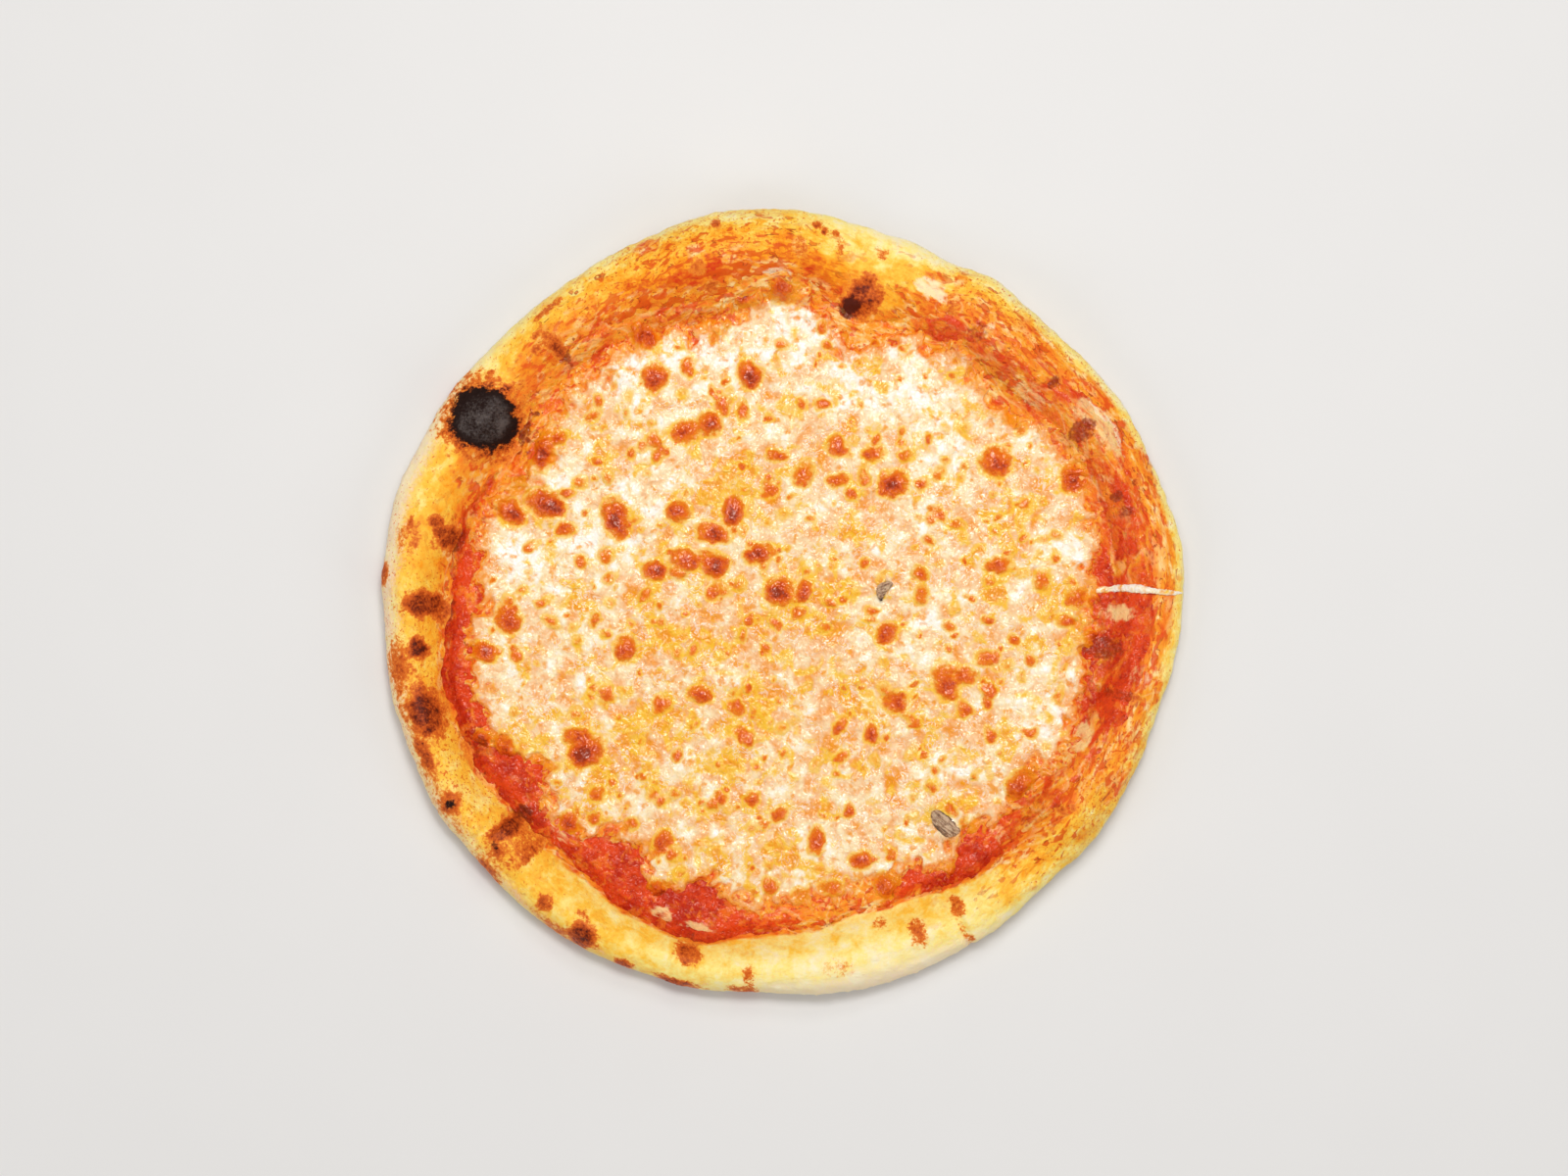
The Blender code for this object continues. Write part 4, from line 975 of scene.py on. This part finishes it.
def make_cheese(looks, sauce_looks, layers):
    dough, sauce, cheese = layers
    directions, part = square_to_disc(CHEESE_CELLS)
    read_at = 360.0 * np.arange(READ_DIRECTIONS) / READ_DIRECTIONS
    beside_string = np.abs(turn_between(read_at, STRING_DIRECTION))
    edges = soften_ring(cheese.edge)
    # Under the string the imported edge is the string's own, so the cheese's is read beside it.
    beside = (beside_string > STRING_SPAN[0]) & (beside_string < STRING_SPAN[1])
    edges[beside_string < STRING_SPAN[0]] = np.median(edges[beside])
    edge = around(edges, directions)
    turned = np.radians(directions)
    ragged = noise_over(np.cos(turned) * CHEESE_WINDING, np.sin(turned) * CHEESE_WINDING, 0 * turned)
    edge = edge + 2.4 * ragged(8.0, 21) + 1.0
    blend = smooth((part - 0.4) / 0.6)
    radius = part * (CHEESE_RADIUS * (1 - blend) + edge * blend)
    x, y = radius * np.cos(turned), radius * np.sin(turned)
    field = noise_over(x, y, 0 * x)
    coarse, middle, small = field(16.0, 22, 2), field(6.0, 23, 2), field(2.6, 24, 2)
    to_edge = edge - radius
    ground = dough.at(directions, radius)
    floor = ground + (sauce.at(directions, radius) - ground) * smooth(to_edge / 6.0)
    inside = clamp(to_edge / 6.0)
    thick = 0.1 + looks.thickness / MM * np.sqrt(inside * (2 - inside))
    thick += 0.7 * coarse * inside
    thick += looks.curds / MM * (1.4 * middle + 0.7 * np.abs(small)) * (0.25 + 0.75 * inside)
    lace = smooth(1 - to_edge / 24.0)
    holes = smooth((1.5 * np.abs(field(8.0, 25, 2)) + 0.12 * small + 0.85 * lace - 1.0) / 0.5) * lace
    thick -= 2.2 * holes

    browned, domes = np.zeros_like(x), np.zeros_like(x)
    warp_x, warp_y = x + 1.0 * field(4.5, 26, 2) + 0.4 * small, y + 1.0 * field(4.5, 27, 2)
    draw = random.Random(3)
    rows = [(*pixel_place(px, py), width * MM_PER_PIXEL, tone) for px, py, width, tone in BROWNED]
    for bx, by, width, tone in rows + strewn_freckles(FRECKLE_REACH):
        near = (np.abs(x - bx) < width * 1.7) & (np.abs(y - by) < width * 1.7)
        long, lean = draw.uniform(1.0, 1.3), draw.uniform(0.0, math.pi)
        if not near.any():
            continue
        u = (warp_x[near] - bx) * math.cos(lean) + (warp_y[near] - by) * math.sin(lean)
        v = (warp_y[near] - by) * math.cos(lean) - (warp_x[near] - bx) * math.sin(lean)
        distance = np.hypot(u / long, v * long) / (width / 2) + 0.16 * small[near]
        dome = np.sqrt(clamp(1 - (distance / 1.05) ** 2))
        rise = looks.doming * min(width, 9.0) * min(1.0, 0.45 + 0.6 * tone)
        domes[near] = np.maximum(domes[near], rise * dome)
        domes[near] -= 0.10 * mound((distance - 1.35) / 0.4) * min(width, 5.0)
        centre = np.hypot(u / long + 0.12 * width, v * long) / (width / 2) + 0.3 * small[near]
        tint = tone * (0.52 * smooth((1.65 - distance) / 1.1) + 0.52 * smooth((1.05 - centre) / 0.95))
        browned[near] = np.maximum(browned[near], tint)
    for mx, my, reach, raised in MUSHROOM_PLACES:
        px, py = pixel_place(mx, my)
        thick += raised * smooth((reach - np.hypot(warp_x - px, warp_y - py)) / 3.0)
    thick = thick + domes + 0.5 * clamp(browned) * small
    z = floor + np.maximum(thick, -0.45)
    outer = part > 0.9999
    z[outer] = (floor - 0.4)[outer]

    patched = np.zeros_like(x)
    blur_x, blur_y = x + 3.0 * field(9.0, 30, 3), y + 3.0 * field(9.0, 31, 3)
    for px, py, reach, strength in PATCHES:
        cx, cy = pixel_place(px, py)
        away = np.hypot(blur_x - cx, blur_y - cy) / (reach * MM_PER_PIXEL)
        patched += strength * smooth(1.15 - away * 0.75)
    patched = clamp(patched, -1.0, 1.0)
    low = smooth(1 - np.hypot(x + 10, y + 40) / 95.0)
    faded = around(WET, directions)
    # Paler still where the patches are pale; at the top this is partly painted sheen.
    pale = 0.06 * (patched < 0) * patched
    fields = {
        "tone": 0.50 + 0.10 * low + 0.22 * patched + pale - 0.16 * middle - 0.08 * coarse,
        "oiled": 0.18 + 0.08 * low + 0.50 * clamp(patched) + 0.25 * field(11.0, 29, 2),
        "bare": (1.1 - 0.35 * faded) * smooth(1 - to_edge / (17.0 - 6.5 * faded)) + 0.8 * holes,
        "browned": browned,
    }
    faces, outline = disc_faces(CHEESE_CELLS)
    table = np.stack([x, y, z], 2).reshape(-1, 3)
    rings, count = [table], len(table)
    for share_down in CHEESE_HEM:
        lower = table[outline].copy()
        lower[:, :2] *= share_down
        below = np.degrees(np.arctan2(lower[:, 1], lower[:, 0]))
        lower[:, 2] = dough.at(below, np.hypot(lower[:, 0], lower[:, 1])) - 0.4
        rings.append(lower)
    rings.append(np.array([[0.0, 0.0, lower[:, 2].mean()]]))
    size = len(outline)
    lower_loops = [list(range(count + k * size, count + (k + 1) * size)) for k in range(len(CHEESE_HEM))]
    loops = [outline, *lower_loops]
    for near, far in zip(loops, loops[1:]):
        faces += [(near[i], far[i], far[i - 1], near[i - 1]) for i in range(size)]
    middle_point = count + len(CHEESE_HEM) * size
    faces += [(loops[-1][i], middle_point, loops[-1][i - 1]) for i in range(size)]
    hidden = np.zeros(len(CHEESE_HEM) * size + 1)
    material = cheese_finish(looks, sauce_looks)
    build(
        "cheese_layer", np.concatenate(rings), faces,
        {name: np.concatenate([values.ravel(), hidden]) for name, values in fields.items()},
        material, ("melted_cheese",),
    )
    make_string(sauce, material)


def make_string(ground, material):
    """The string of cheese that lies over the rim."""
    draw = random.Random(5)
    stations, sides = 60, 12
    points = []
    for i in range(stations + 1):
        t = i / stations
        radius = STRING_INSIDE + (STRING_OUTSIDE - STRING_INSIDE) * t
        across = STRING_PLACE + 0.9 * math.sin(5.0 * t) + draw.uniform(-0.1, 0.1)
        taper = math.sin(math.pi * (0.05 + 0.93 * t)) ** 0.35
        half = (1.9 - 0.9 * t + 0.25 * math.sin(17 * t) + draw.uniform(-0.12, 0.12)) * taper
        direction = math.degrees(math.atan2(across, radius))
        base = float(ground.at(np.array([direction]), np.array([math.hypot(across, radius)]))[0])
        for k in range(sides):
            turn = 2 * math.pi * k / sides
            rise = math.sin(turn)
            lift = (0.9 if rise > 0 else 0.5) * rise * min(1.0, half)
            points.append((radius, across + half * math.cos(turn), base + 0.25 + lift))
    faces = []
    for i in range(stations):
        for k in range(sides):
            n = (k + 1) % sides
            faces.append((i * sides + k, i * sides + n, (i + 1) * sides + n, (i + 1) * sides + k))
    faces.append(tuple(range(sides))[::-1])
    faces.append(tuple(stations * sides + k for k in range(sides)))
    plain = np.ones(len(points))
    fields = {"tone": 0.3 * plain, "oiled": 0.2 * plain, "bare": 0 * plain, "browned": 0 * plain}
    build("cheese_string", np.array(points), faces, fields, material)


def mushroom_finish(looks):
    """Cooked mushroom: grey-brown flesh with darker gill lines, dark where the skin shows."""
    f = Finish(
        "mushroom", Subsurface_Weight=0.1, Subsurface_Scale=0.001, Coat_Weight=0.1, Coat_Roughness=0.25,
    )
    gills = f.noise(0.9, 3.0, 0.6, 0.8, f.skin())
    grain = f.noise(0.8, 3.0, 0.6)
    tone = f.plus(f.field("skin_shown"), f.around_half(gills, 2.2), f.around_half(grain, 0.8))
    base = f.ramp(tone, ((0.05, looks.pale), (0.35, looks.flesh), (0.85, looks.skin)))
    return f.finish(Base_Color=base, Roughness=0.45, Normal=f.bump(gills, 0.5, f.bump(grain, 0.2)))


def make_mushroom(name, node, lean, material):
    """One bit of mushroom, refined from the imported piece."""
    mesh = bmesh.new()
    mesh.from_mesh(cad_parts[node].data)
    bmesh.ops.remove_doubles(mesh, verts=mesh.verts, dist=1e-6)
    bmesh.ops.subdivide_edges(mesh, edges=mesh.edges, cuts=MUSHROOM_CUTS, use_grid_fill=True)
    for _ in range(MUSHROOM_SMOOTHINGS):
        bmesh.ops.smooth_vert(
            mesh, verts=mesh.verts, factor=0.5, use_axis_x=True, use_axis_y=True, use_axis_z=True,
        )
    mesh.normal_update()
    points = np.array([v.co for v in mesh.verts]) / MM
    normals = np.array([v.normal for v in mesh.verts])
    faces = [[v.index for v in face.verts] for face in mesh.faces]
    mesh.free()
    middle = points.mean(0)
    a = math.radians(lean)
    along = (points - middle) @ np.array([math.cos(a), math.sin(a), 0.0])
    across = (points - middle) @ np.array([-math.sin(a), math.cos(a), 0.0])
    edge = smooth(np.abs(across) / max(np.abs(across).max(), 0.1) * 1.6 - 0.7)
    grooves = fractal(np.stack([along * 0.25, across, 0 * along], 1), 0.9, 41, 2)
    lift = 0.22 * grooves + 0.25 * fractal(points, 2.0, 42, 3)
    points = points + normals * lift[:, None]
    skin = np.stack([along * 0.25, across, points[:, 2]], 1)
    dark = 0.15 + 0.6 * edge + 0.5 * smooth(0.5 - normals[:, 2])
    build(name, points, faces, {"skin_shown": dark}, material, (node,), skin)


def make_mushrooms(looks):
    material = mushroom_finish(looks)
    make_mushroom("mushroom_cut", "mushroom_slice", -40.0, material)
    make_mushroom("mushroom_bit", "mushroom_scrap", 20.0, material)


FLOOR_SIZE = 6.0
FLOOR_GAP = 0.0002
SENSOR_WIDTH = 36.0


def make_stage(looks):
    scene = bpy.context.scene
    scene.view_settings.view_transform = "Standard"
    bpy.ops.mesh.primitive_plane_add(size=FLOOR_SIZE, location=(0, 0, -FLOOR_GAP))
    floor = bpy.context.object
    floor.name = "floor"
    f = Finish("pale_floor", Roughness=0.7)
    shade = f.mix(f.noise(60.0, 2.0), looks.floor, [c * 0.97 for c in looks.floor])
    floor.data.materials.append(f.finish(Base_Color=shade))
    world = scene.world or bpy.data.worlds.new("studio")
    scene.world = world
    world.use_nodes = True
    world.node_tree.nodes["Background"].inputs["Color"].default_value = (1.0, 0.99, 0.97, 1.0)
    world.node_tree.nodes["Background"].inputs["Strength"].default_value = looks.sky
    for name, place, size, power in (
        ("key", (0.08, 0.50, 1.45), 0.34, looks.key_power),
        ("glint_left", (-0.35, 0.45, 1.35), 0.28, looks.glint_power),
        ("glint_right", (0.32, 0.30, 1.42), 0.28, looks.glint_power),
        ("glint_far", (0.12, 0.85, 1.20), 0.28, looks.glint_power),
        ("overhead", (0.0, 0.0, 2.2), 1.6, looks.top_power),
        ("left", (-1.1, -0.7, 0.8), 0.7, looks.side_power),
        ("right", (1.1, -0.7, 0.8), 0.7, looks.side_power),
    ):
        lamp = bpy.data.lights.new(name, "AREA")
        lamp.size, lamp.energy = size, power
        made = bpy.data.objects.new(name, lamp)
        made.location = place
        made.rotation_euler = (-Vector(place)).to_track_quat("-Z", "Y").to_euler()
        scene.collection.objects.link(made)
    camera = bpy.data.cameras.new("camera")
    camera.sensor_width = SENSOR_WIDTH
    camera.lens = camera.sensor_width * looks.camera_height / (FRAME_PIXELS * MM_PER_PIXEL * MM)
    made = bpy.data.objects.new("camera", camera)
    cx, cy = pixel_place(*MIDDLE_PIXEL)
    made.location = (cx * MM, cy * MM, looks.camera_height + 0.01)
    scene.collection.objects.link(made)
    scene.camera = made


SETTINGS = {
    "pizza_dough": PizzaDoughSettings,
    "pizza_sauce": PizzaSauceSettings,
    "pizza_cheese": PizzaCheeseSettings,
    "pizza_mushroom": PizzaMushroomSettings,
    "pizza_stage": PizzaStageSettings,
}
_read = {}


def packed_layers():
    """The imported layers, read once: dough, sauce and cheese."""
    if not _read:
        dough = Layer("crust")
        holes = np.isnan(dough.table)
        dough.table[holes] = RIM_CORE_HEIGHT
        dough.table = soften(dough.table, 2)
        sauce = Layer("tomato_sauce", dough)
        _read["layers"] = (dough, sauce, Layer("melted_cheese", sauce))
    return _read["layers"]


class PIZZA_OT_dough(bpy.types.Operator):
    """Make the baked dough with its puffed rim"""

    bl_idname = "pizza.make_dough"
    bl_label = "Baked dough"

    def execute(self, context):
        make_dough(context.scene.pizza_dough, context.scene.pizza_sauce, packed_layers())
        return {"FINISHED"}


class PIZZA_OT_sauce(bpy.types.Operator):
    """Make the ring of tomato sauce"""

    bl_idname = "pizza.make_sauce"
    bl_label = "Tomato sauce"

    def execute(self, context):
        make_sauce(context.scene.pizza_sauce, packed_layers())
        return {"FINISHED"}


class PIZZA_OT_cheese(bpy.types.Operator):
    """Make the melted cheese with its browned bubbles"""

    bl_idname = "pizza.make_cheese"
    bl_label = "Melted cheese"

    def execute(self, context):
        make_cheese(context.scene.pizza_cheese, context.scene.pizza_sauce, packed_layers())
        return {"FINISHED"}


class PIZZA_OT_mushrooms(bpy.types.Operator):
    """Make the bits of mushroom"""

    bl_idname = "pizza.make_mushrooms"
    bl_label = "Mushroom bits"

    def execute(self, context):
        make_mushrooms(context.scene.pizza_mushroom)
        return {"FINISHED"}


class PIZZA_OT_stage(bpy.types.Operator):
    """Set the pale floor, the soft studio light and the camera"""

    bl_idname = "pizza.make_stage"
    bl_label = "Studio"

    def execute(self, context):
        make_stage(context.scene.pizza_stage)
        return {"FINISHED"}


OPERATORS = (PIZZA_OT_dough, PIZZA_OT_sauce, PIZZA_OT_cheese, PIZZA_OT_mushrooms, PIZZA_OT_stage)


class PIZZA_PT_panel(bpy.types.Panel):
    """The pizza's pieces and their settings"""

    bl_label = "Pizza"
    bl_idname = "PIZZA_PT_panel"
    bl_space_type = "VIEW_3D"
    bl_region_type = "UI"
    bl_category = "Pizza"

    def draw(self, context):
        for operator in OPERATORS:
            self.layout.operator(operator.bl_idname)
        for name, kind in SETTINGS.items():
            column = self.layout.column(align=True)
            for field in kind.__annotations__:
                column.prop(getattr(context.scene, name), field)


def register():
    for kind in (*SETTINGS.values(), *OPERATORS, PIZZA_PT_panel):
        bpy.utils.register_class(kind)
    for name, kind in SETTINGS.items():
        setattr(bpy.types.Scene, name, PointerProperty(type=kind))


def unregister():
    for name in SETTINGS:
        delattr(bpy.types.Scene, name)
    for kind in (PIZZA_PT_panel, *reversed(OPERATORS), *reversed(SETTINGS.values())):
        bpy.utils.unregister_class(kind)


def main():
    register()
    for operator in OPERATORS:
        group, name = operator.bl_idname.split(".")
        getattr(getattr(bpy.ops, group), name)()


if __name__ == "__main__":
    main()
